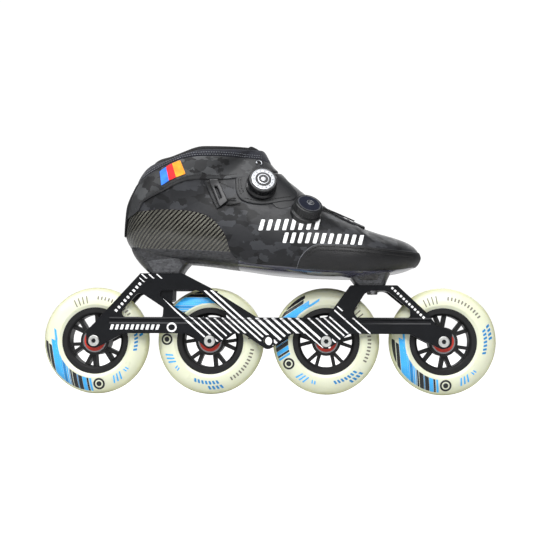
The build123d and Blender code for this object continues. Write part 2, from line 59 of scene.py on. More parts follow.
# ---------------------------------------------------------------- materials
class Shader:
    """A Principled material, with short calls for the nodes that feed it."""

    def __init__(self, name, colour, roughness, **sockets):
        self.material = bpy.data.materials.new(name)
        self.material.use_nodes = True
        self.tree = self.material.node_tree
        self.surface = self.tree.nodes["Principled BSDF"]
        self.material.diffuse_color = (*colour, 1.0)
        self.surface.inputs["Base Color"].default_value = (*colour, 1.0)
        self.surface.inputs["Roughness"].default_value = roughness
        for key, value in sockets.items():
            self.surface.inputs[key.replace("_", " ")].default_value = value

    def node(self, kind, **settings):
        made = self.tree.nodes.new("ShaderNode" + kind)
        for key, value in settings.items():
            setattr(made, key, value)
        return made

    def link(self, source, target):
        self.tree.links.new(source, target)

    def place(self, stretch=(1.0, 1.0, 1.0), turn=(0.0, 0.0, 0.0)):
        """Object coordinates in millimetres, stretched and turned."""
        coords = self.node("TexCoord")
        mapping = self.node("Mapping")
        mapping.inputs["Scale"].default_value = [1000.0 * s for s in stretch]
        mapping.inputs["Rotation"].default_value = [math.radians(t) for t in turn]
        self.link(coords.outputs["Object"], mapping.inputs["Vector"])
        return mapping.outputs["Vector"]

    def noise(self, where, size, detail=3.0, output="Fac"):
        made = self.node("TexNoise")
        made.inputs["Scale"].default_value = 1.0 / size
        made.inputs["Detail"].default_value = detail
        self.link(where, made.inputs["Vector"])
        return made.outputs[output]

    def cells(self, where, size, output="Color"):
        made = self.node("TexVoronoi")
        made.inputs["Scale"].default_value = 1.0 / size
        self.link(where, made.inputs["Vector"])
        return made.outputs[output]

    def warped(self, where, size, amount):
        """The coordinates pushed about by noise, so that cells get ragged outlines."""
        push = self.node("VectorMath", operation="MULTIPLY_ADD")
        self.link(self.noise(where, size, output="Color"), push.inputs[0])
        push.inputs[1].default_value = (amount, amount, amount)
        self.link(where, push.inputs[2])
        return push.outputs["Vector"]

    def value(self, operation, first, second=None):
        """One Math node of sockets or plain numbers."""
        made = self.node("Math", operation=operation)
        for socket, given in zip(made.inputs, (first, second)):
            if given is None:
                continue
            if isinstance(given, (int, float)):
                socket.default_value = given
            else:
                self.link(given, socket)
        return made.outputs[0]

    def ramp(self, factor, stops, steps=False):
        """A colour ramp from (position, colour) stops."""
        made = self.node("ValToRGB")
        elements = made.color_ramp.elements
        made.color_ramp.interpolation = "CONSTANT" if steps else "LINEAR"
        while len(elements) < len(stops):
            elements.new(0.5)
        for element, (position, colour) in zip(elements, stops):
            element.position = position
            element.color = (*colour, 1.0) if len(colour) == 3 else colour
        self.link(factor, made.inputs["Fac"])
        return made.outputs["Color"]

    def mix(self, factor, first, second, blend_type="MIX"):
        """Blends two colours, each a socket or a plain colour."""
        made = self.node("Mix", data_type="RGBA", blend_type=blend_type)
        for socket, given in zip((made.inputs[0], made.inputs[6], made.inputs[7]), (factor, first, second)):
            if isinstance(given, (int, float)):
                socket.default_value = given
            elif isinstance(given, tuple):
                socket.default_value = (*given, 1.0)
            else:
                self.link(given, socket)
        return made.outputs[2]

    def feed(self, socket, source):
        self.link(source, self.surface.inputs[socket])

    def bump(self, height, strength, distance=0.2, before=None):
        """Adds relief; distance is in millimetres. before is an earlier relief that this one adds to."""
        made = self.node("Bump")
        made.inputs["Strength"].default_value = strength
        made.inputs["Distance"].default_value = distance * MM
        self.link(height, made.inputs["Height"])
        if before is not None:
            self.link(before, made.inputs["Normal"])
        self.link(made.outputs["Normal"], self.surface.inputs["Normal"])
        return made.outputs["Normal"]

    def span(self, factor, low, high):
        """Maps 0..1 to low..high."""
        made = self.node("MapRange")
        made.inputs["To Min"].default_value = low
        made.inputs["To Max"].default_value = high
        self.link(factor, made.inputs["Value"])
        return made.outputs["Result"]


def grained(name, colour, roughness, grain=0.6, relief=0.25, spread=0.12, **sockets):
    """A plain moulded or painted finish with fine grain and slight variation in colour and roughness."""
    shader = Shader(name, colour, roughness, **sockets)
    at = shader.place()
    broad = shader.noise(at, 9.0)
    fine = shader.noise(at, grain, detail=2.0)
    darker = tuple(c * (1 - spread) for c in colour)
    lighter = tuple(min(1.0, c * (1 + spread)) for c in colour)
    shader.feed("Base Color", shader.ramp(broad, [(0.35, darker), (0.65, lighter)]))
    shader.feed("Roughness", shader.span(broad, max(0.02, roughness - 0.06), min(1.0, roughness + 0.06)))
    shader.bump(fine, relief, 0.1)
    return shader.material


def camouflage(name, tones, blotch=8.5, roughness=0.45):
    """Satin microfibre with a tone-on-tone print of ragged leaves."""
    shader = Shader(name, tones[1], roughness, Sheen_Weight=0.05, Sheen_Roughness=0.4, Specular_IOR_Level=0.3)
    at = shader.place(stretch=(0.8, 1.0, 1.25), turn=(0.0, 24.0, 0.0))
    ragged = shader.warped(at, 6.0, 10.0)
    leaf = shader.node("SeparateColor")
    shader.link(shader.cells(ragged, blotch), leaf.inputs[0])
    stops = [(k / len(tones), tone) for k, tone in enumerate(tones)]
    print_tone = shader.ramp(leaf.outputs[0], stops, steps=True)
    cloud = shader.noise(at, 30.0)
    shading = shader.ramp(cloud, [(0.3, (0.75, 0.75, 0.75)), (0.7, (1.2, 1.2, 1.2))])
    shader.feed("Base Color", shader.mix(1.0, print_tone, shading, "MULTIPLY"))
    fine = shader.noise(shader.place(), 0.55, detail=2.0)
    folds = shader.noise(shader.place(), 13.0, detail=2.0)
    soft = shader.bump(folds, 0.22, 1.6)
    shader.bump(fine, 0.3, 0.12, before=soft)
    shader.feed("Roughness", shader.span(leaf.outputs[1], roughness - 0.07, roughness + 0.07))
    return shader.material


def woven_carbon(name):
    """Clear-coated twill: tows go two over, two under, along the layer's own weave coordinates; the over tows
    carry a painted sheen.
    """
    tow = 1.15
    shader = Shader(name, (0.02, 0.02, 0.02), 0.32, Coat_Weight=1.0, Coat_Roughness=0.1, Metallic=0.6)
    attribute = shader.node("Attribute", attribute_type="GEOMETRY", attribute_name="weave")
    parts = shader.node("SeparateXYZ")
    shader.link(attribute.outputs["Vector"], parts.inputs[0])
    across = shader.value("DIVIDE", parts.outputs[0], tow)
    along = shader.value("DIVIDE", parts.outputs[1], tow)
    step = shader.value("SUBTRACT", shader.value("FLOOR", across), shader.value("FLOOR", along))
    over = shader.value("LESS_THAN", shader.value("FLOORED_MODULO", step, 4.0), 2.0)
    humps = []
    for axis in (across, along):
        middle = shader.value("SUBTRACT", shader.value("FRACT", axis), 0.5)
        fall = shader.value("MULTIPLY", shader.value("ABSOLUTE", middle), 1.9)
        humps.append(shader.value("SUBTRACT", 1.0, fall))
    swap = shader.node("Mix", data_type="FLOAT")
    shader.link(over, swap.inputs[0])
    shader.link(humps[0], swap.inputs[2])
    shader.link(humps[1], swap.inputs[3])
    # Painted sheen: over tows get a lighter cream tone and under tows a near-black one, standing in for the
    # tows' different reflection; the two-over-two-under pattern itself is the weave.
    tone = shader.mix(over, (0.005, 0.0048, 0.004), (0.10, 0.097, 0.078))
    gap = shader.ramp(swap.outputs[0], [(0.0, (0.25, 0.25, 0.25)), (0.45, (1.0, 1.0, 1.0))])
    shader.feed("Base Color", shader.mix(1.0, tone, gap, "MULTIPLY"))
    shader.feed("Roughness", shader.span(over, 0.24, 0.42))
    shader.bump(swap.outputs[0], 0.5, 0.25)
    return shader.material


def forged_carbon(name, low, high, roughness):
    """Pressed carbon chips under a satin clear coat."""
    shader = Shader(name, low, roughness, Coat_Weight=0.35, Coat_Roughness=0.2, Metallic=0.2)
    at = shader.place(stretch=(1.0, 1.0, 1.8), turn=(10.0, 30.0, 0.0))
    chips = shader.node("SeparateColor")
    shader.link(shader.cells(shader.warped(at, 3.0, 2.0), 2.2), chips.inputs[0])
    shader.feed("Base Color", shader.ramp(chips.outputs[0], [(0.0, low), (1.0, high)]))
    shader.feed("Roughness", shader.span(chips.outputs[1], roughness - 0.1, roughness + 0.15))
    shader.bump(chips.outputs[2], 0.15, 0.15)
    return shader.material


def cloth(name, colour, thread=0.9, sheen=0.4, relief=0.5):
    """Woven or brushed cloth: crossing threads, with slight unevenness."""
    shader = Shader(name, colour, 0.85, Sheen_Weight=sheen, Sheen_Roughness=0.5)
    at = shader.place()
    parts = shader.node("SeparateXYZ")
    shader.link(at, parts.inputs[0])
    sines = []
    for output in (parts.outputs[0], parts.outputs[2], parts.outputs[1]):
        sines.append(shader.value("SINE", shader.value("MULTIPLY", output, 2 * math.pi / thread)))
    net = shader.value("ADD", shader.value("MULTIPLY", sines[0], sines[1]), sines[2])
    fuzz = shader.noise(at, 0.5, detail=2.0)
    height = shader.value("ADD", shader.value("MULTIPLY", net, 0.3), fuzz)
    shader.bump(height, relief, 0.2)
    broad = shader.noise(at, 6.0, detail=4.0)
    darker = tuple(c * 0.75 for c in colour)
    lighter = tuple(min(1.0, c * 1.3) for c in colour)
    shader.feed("Base Color", shader.ramp(broad, [(0.3, darker), (0.7, lighter)]))
    return shader.material


def urethane(name):
    """Milky urethane: pale flanks that turn olive towards the tread, with light passing a little way in."""
    shader = Shader(name, (0.84, 0.86, 0.66), 0.32, Subsurface_Weight=0.3, Subsurface_Scale=0.004)
    shader.surface.inputs["Subsurface Radius"].default_value = (1.0, 0.9, 0.5)
    at = shader.place()
    parts = shader.node("SeparateXYZ")
    shader.link(at, parts.inputs[0])
    across = shader.value("DIVIDE", shader.value("ABSOLUTE", parts.outputs[1]), TYRE_HALF)
    tread_to_flank = [
        (0.0, (0.52, 0.52, 0.27)), (0.42, (0.64, 0.65, 0.42)), (0.62, (0.71, 0.73, 0.54)),
        (0.9, (0.73, 0.75, 0.58)),
    ]
    shader.feed("Base Color", shader.ramp(across, tread_to_flank))
    shader.feed("Roughness", shader.span(shader.noise(at, 8.0), 0.22, 0.38))
    shader.bump(shader.noise(at, 2.5, detail=5.0), 0.05, 0.2)
    return shader.material


def anodised(name, colour, roughness):
    """Black anodised aluminium: fine drawn grain and a soft metal gloss."""
    shader = Shader(name, colour, roughness, Metallic=0.3, Specular_IOR_Level=0.45)
    drawn = shader.noise(shader.place(stretch=(0.03, 1.0, 1.0)), 0.35, detail=4.0)
    broad = shader.noise(shader.place(), 18.0)
    lighter = tuple(c * 1.5 for c in colour)
    shader.feed("Base Color", shader.ramp(broad, [(0.3, colour), (0.7, lighter)]))
    shader.feed("Roughness", shader.span(drawn, roughness - 0.08, roughness + 0.1))
    shader.bump(drawn, 0.08, 0.05)
    return shader.material


def metal(name, colour, roughness, coat=0.0):
    """Bare or lacquered metal with fine scuffs."""
    shader = Shader(name, colour, roughness, Metallic=1.0, Coat_Weight=coat)
    scuffs = shader.noise(shader.place(stretch=(1.0, 0.2, 1.0)), 0.8, detail=5.0)
    shader.feed("Roughness", shader.span(scuffs, max(0.04, roughness - 0.1), roughness + 0.12))
    shader.bump(scuffs, 0.06, 0.05)
    return shader.material


def grain_leather(name, colour):
    """Coarse pebbled leather, glossier on the pebbles than between them."""
    shader = Shader(name, colour, 0.4, Specular_IOR_Level=0.45)
    at = shader.place()
    pebbles = shader.cells(shader.warped(at, 2.0, 0.8), 1.1, output="Distance")
    broad = shader.noise(at, 12.0)
    darker = tuple(c * 0.7 for c in colour)
    lighter = tuple(c * 1.35 for c in colour)
    shader.feed("Base Color", shader.ramp(broad, [(0.3, darker), (0.7, lighter)]))
    shader.feed("Roughness", shader.span(pebbles, 0.3, 0.62))
    shader.bump(pebbles, 0.55, 0.25)
    return shader.material


CARBON = woven_carbon("twill_carbon")
FORGED = forged_carbon("forged_carbon", (0.010, 0.010, 0.012), (0.036, 0.037, 0.042), 0.42)
SOLE_GLOSS = grained("sole_gloss", (0.055, 0.055, 0.08), 0.16, relief=0.05, Coat_Weight=0.8)
FORGED_EDGE = forged_carbon("forged_carbon_rim", (0.035, 0.036, 0.040), (0.085, 0.087, 0.095), 0.45)
FORGED_PIT = forged_carbon("forged_carbon_recess", (0.006, 0.006, 0.007), (0.05, 0.048, 0.046), 0.4)
UPPER_TONES = [
    (0.004, 0.0042, 0.0052), (0.011, 0.0115, 0.0135), (0.014, 0.0145, 0.017), (0.031, 0.0325, 0.037),
]
CUFF_TONES = [(0.009, 0.009, 0.010), (0.022, 0.0225, 0.024), (0.030, 0.031, 0.033), (0.056, 0.058, 0.061)]
UPPER = camouflage("camouflage_microfibre", UPPER_TONES)
CUFF = camouflage("camouflage_cuff", CUFF_TONES, blotch=9.0, roughness=0.5)
STRAP = grained("strap_microfibre", (0.009, 0.0095, 0.011), 0.45, relief=0.35, Specular_IOR_Level=0.35)
REAR_STRIP = grained("rear_strip_microfibre", (0.006, 0.0065, 0.008), 0.45, relief=0.4,
                     Specular_IOR_Level=0.35)
BUMPER = grain_leather("grained_bumper", (0.006, 0.006, 0.007))
COLLAR = cloth("brushed_collar", (0.0065, 0.0075, 0.014), sheen=0.12)
LINER = cloth("soft_liner", (0.004, 0.004, 0.005), thread=0.7, sheen=0.08)
TONGUE = cloth("tongue_mesh", (0.010, 0.0105, 0.013), thread=1.6, sheen=0.1, relief=0.9)
INSOLE = cloth("insole_cloth", (0.016, 0.017, 0.02), thread=1.1)
STITCH = cloth("black_thread", (0.004, 0.004, 0.004), thread=0.3, sheen=0.1)
PALE_STITCH = cloth("grey_thread", (0.13, 0.135, 0.15), thread=0.3, sheen=0.1)
RIBBON = [
    cloth("ribbon_blue", (0.030, 0.20, 0.90), thread=0.5, sheen=0.1, relief=0.3),
    cloth("ribbon_red", (0.70, 0.012, 0.018), thread=0.5, sheen=0.1, relief=0.3),
    cloth("ribbon_orange", (0.95, 0.30, 0.02), thread=0.5, sheen=0.1, relief=0.3),
]
WHITE_PRINT = grained("white_print", (0.88, 0.88, 0.89), 0.45, relief=0.1, spread=0.03)
LACE = cloth("lace_cord", (0.006, 0.006, 0.006), thread=0.25, sheen=0.05)
TYRE = urethane("milky_urethane")
HUB = grained("hub_nylon", (0.006, 0.006, 0.0065), 0.42, grain=0.8, relief=0.3, Specular_IOR_Level=0.4)
SEAL = grained("red_seal", (0.62, 0.035, 0.018), 0.4, spread=0.05)
STEEL = metal("ground_steel", (0.34, 0.34, 0.35), 0.3)
BOLT_STEEL = metal("bolt_steel", (0.50, 0.50, 0.52), 0.32)
AXLE_ALLOY = metal("turned_alloy", (0.78, 0.78, 0.76), 0.38)
FRAME_BLACK = anodised("black_anodised", (0.0035, 0.004, 0.0055), 0.3)
KNOB = grained("dial_plastic", (0.007, 0.0075, 0.0085), 0.32, relief=0.15)
PALE_PLASTIC = grained("dial_rim_grey", (0.06, 0.062, 0.068), 0.3)
KNOB_FACE = grained("dial_face_dark", (0.008, 0.010, 0.020), 0.2, relief=0.05, Coat_Weight=0.6)
SILVER = metal("silver_lacquer", (0.36, 0.37, 0.39), 0.34, coat=0.2)
GUIDE = grained("guide_plastic", (0.014, 0.014, 0.0155), 0.38, relief=0.25)
BLUE_INK = grained("blue_ink", (0.012, 0.23, 0.55), 0.35, spread=0.08)
SKY_INK = grained("sky_ink", (0.045, 0.42, 0.88), 0.35, spread=0.08)
BLACK_INK = grained("black_ink", (0.010, 0.011, 0.013), 0.3, spread=0.2)
GREY_INK = grained("grey_ink", (0.17, 0.16, 0.12), 0.4, spread=0.1)

NODE_FINISH = {
    "_wheel_tyre": TYRE,
    "_wheel_hub": HUB,
    "_bearing_outer_rings": STEEL,
    "_bearing_shields": SEAL,
    "_bearing_balls_and_cages": STEEL,
    "bearing_inner_rings": STEEL,
    "bearing_spacers": AXLE_ALLOY,
    "wheel_axles": AXLE_ALLOY,
    "mounting_bolts": BOLT_STEEL,
    "mounting_washers": BOLT_STEEL,
    "threaded_inserts": BOLT_STEEL,
    "frame": FRAME_BLACK,
    "footbed": INSOLE,
    "_dial_base": KNOB,
    "_dial_spool": KNOB,
    "_dial_screw": BOLT_STEEL,
    "_dial_knob": KNOB,
    "upper_dial_cap": SILVER,
    "lower_dial_cap": KNOB_FACE,
}


def finish_cad_nodes():
    """Gives every CAD node that stays in view its material."""
    for node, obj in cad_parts.items():
        for ending, material in NODE_FINISH.items():
            if node.endswith(ending):
                obj.data.materials.clear()
                obj.data.materials.append(material)


# ---------------------------------------------------------------- surfaces
def gentle(knots, values):
    """Slopes of a smooth curve through the values that doesn't overshoot them."""
    step = np.diff(knots)
    rise = np.diff(values) / step
    slopes = np.zeros(len(values))
    slopes[0], slopes[-1] = rise[0], rise[-1]
    for k in range(1, len(values) - 1):
        if rise[k - 1] * rise[k] > 0:
            before = 2 * step[k] + step[k - 1]
            after = step[k] + 2 * step[k - 1]
            slopes[k] = (before + after) / (before / rise[k - 1] + after / rise[k])
    return slopes


def follow(knots, values, slopes, at):
    """The smooth curve's value at each place."""
    k = np.clip(np.searchsorted(knots, at, side="right") - 1, 0, len(knots) - 2)
    step = knots[k + 1] - knots[k]
    s = (at - knots[k]) / step
    low = (1 + 2 * s) * (1 - s) ** 2 * values[k] + s * (1 - s) ** 2 * step * slopes[k]
    high = s * s * (3 - 2 * s) * values[k + 1] + s * s * (s - 1) * step * slopes[k + 1]
    return low + high


# Stations of the boot from the toe round the heel to above the collar, as the CAD has them: low point (x, z),
# high point (x, z), half width, middle y, height of the widest place, squareness of the low and the high
# half, and how far a layer's depth shortens the toe. The first one closes the toe.
BOOT_STATIONS = [
    ((143.3, 128.6), (143.3, 129.4), 1.5, 11.2, 0.50, 0.58, 0.55, 1.0),
    ((142.0, 125.5), (142.0, 132.5), 8.0, 11.0, 0.50, 0.60, 0.55, 1.0),
    ((139.5, 121.8), (139.5, 136.6), 15.5, 10.5, 0.50, 0.62, 0.55, 0.9),
    ((132.0, 117.2), (132.0, 142.5), 25.5, 9.5, 0.48, 0.70, 0.55, 0.6),
    ((120.0, 113.8), (120.0, 147.0), 35.0, 7.5, 0.45, 0.76, 0.55, 0.3),
    ((100.0, 110.8), (100.0, 152.6), 43.0, 4.0, 0.40, 0.76, 0.55, 0.0),
    ((75.0, 108.2), (75.0, 163.0), 47.0, 1.0, 0.35, 0.74, 0.52, 0.0),
    ((45.0, 108.8), (48.0, 178.0), 46.5, -1.5, 0.32, 0.74, 0.50, 0.0),
    ((10.0, 111.2), (24.0, 196.6), 42.0, -2.0, 0.30, 0.74, 0.50, 0.0),
    ((-28.0, 116.4), (4.0, 213.0), 37.5, -1.0, 0.30, 0.74, 0.52, 0.0),
    ((-70.0, 121.5), (-4.5, 226.0), 35.5, 0.0, 0.32, 0.74, 0.55, 0.0),
    ((-97.0, 122.8), (-6.4, 229.3), 34.4, 0.0, 0.34, 0.72, 0.55, 0.0),
    ((-117.5, 125.0), (-7.6, 231.3), 34.0, 0.0, 0.36, 0.70, 0.55, 0.0),
    ((-129.5, 135.5), (-8.0, 232.0), 34.3, 0.0, 0.38, 0.65, 0.55, 0.0),
    ((-135.5, 149.0), (-8.2, 232.6), 35.0, 0.0, 0.40, 0.60, 0.55, 0.0),
    ((-134.0, 173.0), (-8.1, 233.8), 36.5, 0.0, 0.45, 0.56, 0.55, 0.0),
    ((-123.5, 199.0), (-7.9, 236.5), 36.0, 0.0, 0.48, 0.56, 0.55, 0.0),
    ((-109.5, 222.0), (-7.0, 243.0), 34.5, 0.0, 0.50, 0.56, 0.55, 0.0),
    ((-98.0, 240.0), (-6.0, 252.0), 34.0, 0.0, 0.50, 0.56, 0.55, 0.0),
]
STATION_ROWS = np.array([[*low, *high, *rest] for low, high, *rest in BOOT_STATIONS])
LOW_STEPS = np.hypot(*np.diff(STATION_ROWS[:, 0:2], axis=0).T)
HIGH_STEPS = np.hypot(*np.diff(STATION_ROWS[:, 2:4], axis=0).T)
STATION_KNOTS = np.concatenate([[0.0], np.cumsum(np.maximum(LOW_STEPS, HIGH_STEPS))])
STATION_SLOPES = [gentle(STATION_KNOTS, column) for column in STATION_ROWS.T]


def boot_point(along, around, height):
    """Places on the boot's skin, raised by height.

    along runs from toe to heel to collar in mm, and around from 0 to 1, from the sole's middle up the inner
    side and down the outer one."""
    low_x, low_z, high_x, high_z, half, middle_y, widest, square_low, square_high, toe_share = (
        follow(STATION_KNOTS, column, slopes, along) for column, slopes in zip(STATION_ROWS.T, STATION_SLOPES)
    )
    length = np.maximum(np.hypot(high_x - low_x, high_z - low_z), 0.001)
    up_x, up_z = (high_x - low_x) / length, (high_z - low_z) / length
    inset = np.minimum(-height, 0.48 * length)
    shift = -inset * toe_share
    low_x, low_z = low_x + up_x * inset + shift, low_z + up_z * inset
    high_x, high_z = high_x - up_x * inset + shift, high_z - up_z * inset
    half = np.maximum(half - inset, 0.05)
    mid_x, mid_z = low_x + (high_x - low_x) * widest, low_z + (high_z - low_z) * widest

    quarter = np.minimum((np.asarray(around) * 4).astype(int), 3)
    s = np.asarray(around) * 4 - quarter
    side = np.choose(quarter, [1, 1, -1, -1])
    rise = np.choose(quarter, [-1, 1, 1, -1])
    square = np.where(rise < 0, square_low, square_high)
    s = np.where(side * rise > 0, 1 - s, s)
    ends = [(0, 1), (square, 1), (1, square), (1, 0)]
    weights = [(1 - s) ** 3, 3 * s * (1 - s) ** 2, 3 * s * s * (1 - s), s**3]
    sideways = sum(w * a for w, (a, _) in zip(weights, ends)) * side
    upward = sum(w * b for w, (_, b) in zip(weights, ends))
    reach_x = np.where(rise > 0, high_x - mid_x, low_x - mid_x)
    reach_z = np.where(rise > 0, high_z - mid_z, low_z - mid_z)
    return np.stack([mid_x + reach_x * upward, middle_y + half * sideways, mid_z + reach_z * upward], axis=-1)


class Surface:
    """A curved face that layers and prints lie on, as a function of two coordinates and a height above it."""

    def __init__(self, point, first, second):
        self.point = point
        self.first = first
        self.second = second

    def normal(self, first, second, height=0.0):
        """Directions away from the face."""
        step = 0.02
        flat = np.zeros(len(first)) + height
        across = self.point(first + step, second, flat) - self.point(first - step, second, flat)
        width = 1e-4 if self.second[-1] <= 1.0 else step
        around = self.point(first, second + width, flat) - self.point(first, second - width, flat)
        made = np.cross(across, around)
        made /= np.maximum(np.linalg.norm(made, axis=1, keepdims=True), 1e-9)
        outward = self.point(first, second, flat + 0.1) - self.point(first, second, flat)
        return made * np.sign(np.sum(made * outward, axis=1, keepdims=True))


AROUND = np.linspace(0.0, 1.0, 221)
ALONG = np.linspace(0.0, STATION_KNOTS[-1], 290)
BOOT = Surface(boot_point, ALONG, AROUND)
BOOT_A, BOOT_B = (grid.ravel() for grid in np.meshgrid(ALONG, AROUND, indexing="ij"))
BOOT_POINTS = boot_point(BOOT_A, BOOT_B, np.zeros(len(BOOT_A)))


def on_skin(x, other, side="outer"):
    """Skin coordinates of a place: outer and inner take (x, z), top takes (x, y)."""
    axis = 1 if side == "top" else 2
    if side == "top":
        allowed = (BOOT_B > 0.25) & (BOOT_B < 0.75)
    elif side == "outer":
        allowed = BOOT_B > 0.5
    else:
        allowed = BOOT_B < 0.5
    offset = (BOOT_POINTS[:, 0] - x) ** 2 + (BOOT_POINTS[:, axis] - other) ** 2
    nearest = np.argmin(np.where(allowed, offset, 1e9))
    place = np.array([BOOT_A[nearest], BOOT_B[nearest]])
    zero = np.zeros(1)
    for _ in range(4):
        here = boot_point(place[:1], place[1:], zero)[0]
        da = (boot_point(place[:1] + 0.05, place[1:], zero)[0] - here) / 0.05
        db = (boot_point(place[:1], place[1:] + 1e-4, zero)[0] - here) / 1e-4
        slope = np.array([[da[0], db[0]], [da[axis], db[axis]]])
        miss = np.array([x - here[0], other - here[axis]])
        if abs(np.linalg.det(slope)) < 1e-6:
            break
        place = place + np.clip(np.linalg.solve(slope, miss), [-3, -0.02], [3, 0.02])
    return place


def skin_places(points, side="outer"):
    return np.array([on_skin(*point, side) for point in points])


def skin_point(places, height=0.0):
    return boot_point(places[:, 0], places[:, 1], np.zeros(len(places)) + height)


# ---------------------------------------------------------------- outlines in side view
def smooth(points, steps=8):
    """A curve through given points."""
    corners = np.array([points[0], *points, points[-1]], float)
    line = []
    for k in range(1, len(corners) - 2):
        a, b, c, d = corners[k - 1 : k + 3]
        for s in np.linspace(0, 1, steps, endpoint=False):
            square, cube = 2 * a - 5 * b + 4 * c - d, 3 * b - a - 3 * c + d
            line.append(0.5 * (2 * b + (c - a) * s + square * s**2 + cube * s**3))
    line.append(corners[-1])
    return [tuple(point) for point in line]


def inside_of(outline):
    """How far inside a closed outline each point lies, seen from the side. Outside is negative."""
    corners = np.array(outline, float)

    def zone(points):
        x, z = points[:, 0], points[:, 2]
        nearest = np.full(len(points), 1e18)
        odd = np.zeros(len(points), bool)
        for (ax, az), (bx, bz) in zip(corners, np.roll(corners, -1, axis=0)):
            dx, dz = bx - ax, bz - az
            share = np.clip(((x - ax) * dx + (z - az) * dz) / max(dx * dx + dz * dz, 1e-12), 0, 1)
            nearest = np.minimum(nearest, (x - ax - share * dx) ** 2 + (z - az - share * dz) ** 2)
            if az != bz:
                crossing = ax + (z - az) * dx / dz
                odd ^= ((az > z) != (bz > z)) & (x < crossing)
        return np.where(odd, 1.0, -1.0) * np.sqrt(nearest)

    return zone


def below(points, limit=60):
    """The side view's part between a curve and a level line under it, or over it for a high limit."""
    line = smooth(points)
    return inside_of([*line, (line[-1][0], limit), (line[0][0], limit)])


def above(points):
    return below(points, limit=300)


def all_of(*zones):
    return lambda points: np.minimum.reduce([zone(points) for zone in zones])


def any_of(*zones):
    return lambda points: np.maximum.reduce([zone(points) for zone in zones])


def outside(zone):
    return lambda points: -zone(points)


def band(axis, low, high):
    return lambda points: np.minimum(points[:, axis] - low, high - points[:, axis])


def raised(points, lift):
    return [(x, z + lift) for x, z in points]


CARBON_HEEL = [(-150, 168.0), (-121, 169.6), (-92, 171.0), (-65, 168.4), (-49, 160.5), (-39, 147.5)]
CARBON_SOLE = [
    (-35, 135), (-30, 127), (-18, 121.8), (12, 118.6), (48, 115.6), (80, 114.8), (120, 117.0),
    (150, 124),
]
COLLAR_EDGE = [
    (-140, 186), (-117.3, 200.6), (-106.6, 206.4), (-87.2, 214.3), (-75.2, 217.9), (-60, 219.4),
    (-30, 219.3), (-6, 217.6), (20, 207),
]
TOP_EDGE = [
    (-130, 207), (-111, 216.5), (-94, 219.2), (-79.5, 223.6), (-70, 226.8), (-62, 228.5), (-50, 229),
    (-35, 229.6), (-20.6, 230.6), (-8.4, 232), (8, 232.5),
]
BUMPER_EDGE = [
    (25.5, 110), (30.5, 125.5), (36, 132.2), (43, 136.6), (52, 137.8), (81, 136.4), (111, 134),
    (150, 132.6),
]
CUFF_EDGE = [
    (-145, 160), (-122.4, 169.9), (-114.5, 179.9), (-95.1, 189.3), (-83.3, 195.2), (-70, 199.2),
    (-45, 199.8), (-19, 202.4), (-6, 206.5), (12, 210),
]
PATCH_EDGE = [
    (-29.6, 200.4), (-28.4, 188), (-24.5, 180.8), (-15.8, 177.2), (-3, 176.0), (12, 178.6),
    (24, 180.5), (27, 187),
]
BAND_DROP = 2.4

in_carbon = below(CARBON_HEEL + CARBON_SOLE)
over_collar = above(COLLAR_EDGE)
under_top = below(TOP_EDGE)
under_band_top = below(raised(TOP_EDGE, -BAND_DROP))
in_bumper = below(BUMPER_EDGE)
over_cuff = above(CUFF_EDGE)
in_patch = all_of(inside_of([*smooth(PATCH_EDGE), (12, 206), (-19, 202.4)]), band(1, -90, 8))


# ---------------------------------------------------------------- mesh making
def make_piece(name, points, faces, material, body="root", slot=None, replaces=()):
    """A mesh object from places in mm, riding on a body."""
    mesh = bpy.data.meshes.new(name)
    mesh.from_pydata((np.asarray(points) * MM).tolist(), [], [list(map(int, face)) for face in faces])
    mesh.validate()
    mesh.materials.append(material)
    mesh.shade_smooth()
    mesh.set_sharp_from_angle(angle=math.radians(38.0))
    obj = bpy.data.objects.new(name, mesh)
    bpy.context.scene.collection.objects.link(obj)
    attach(obj, body)
    if replaces:
        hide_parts(*replaces)
    return obj


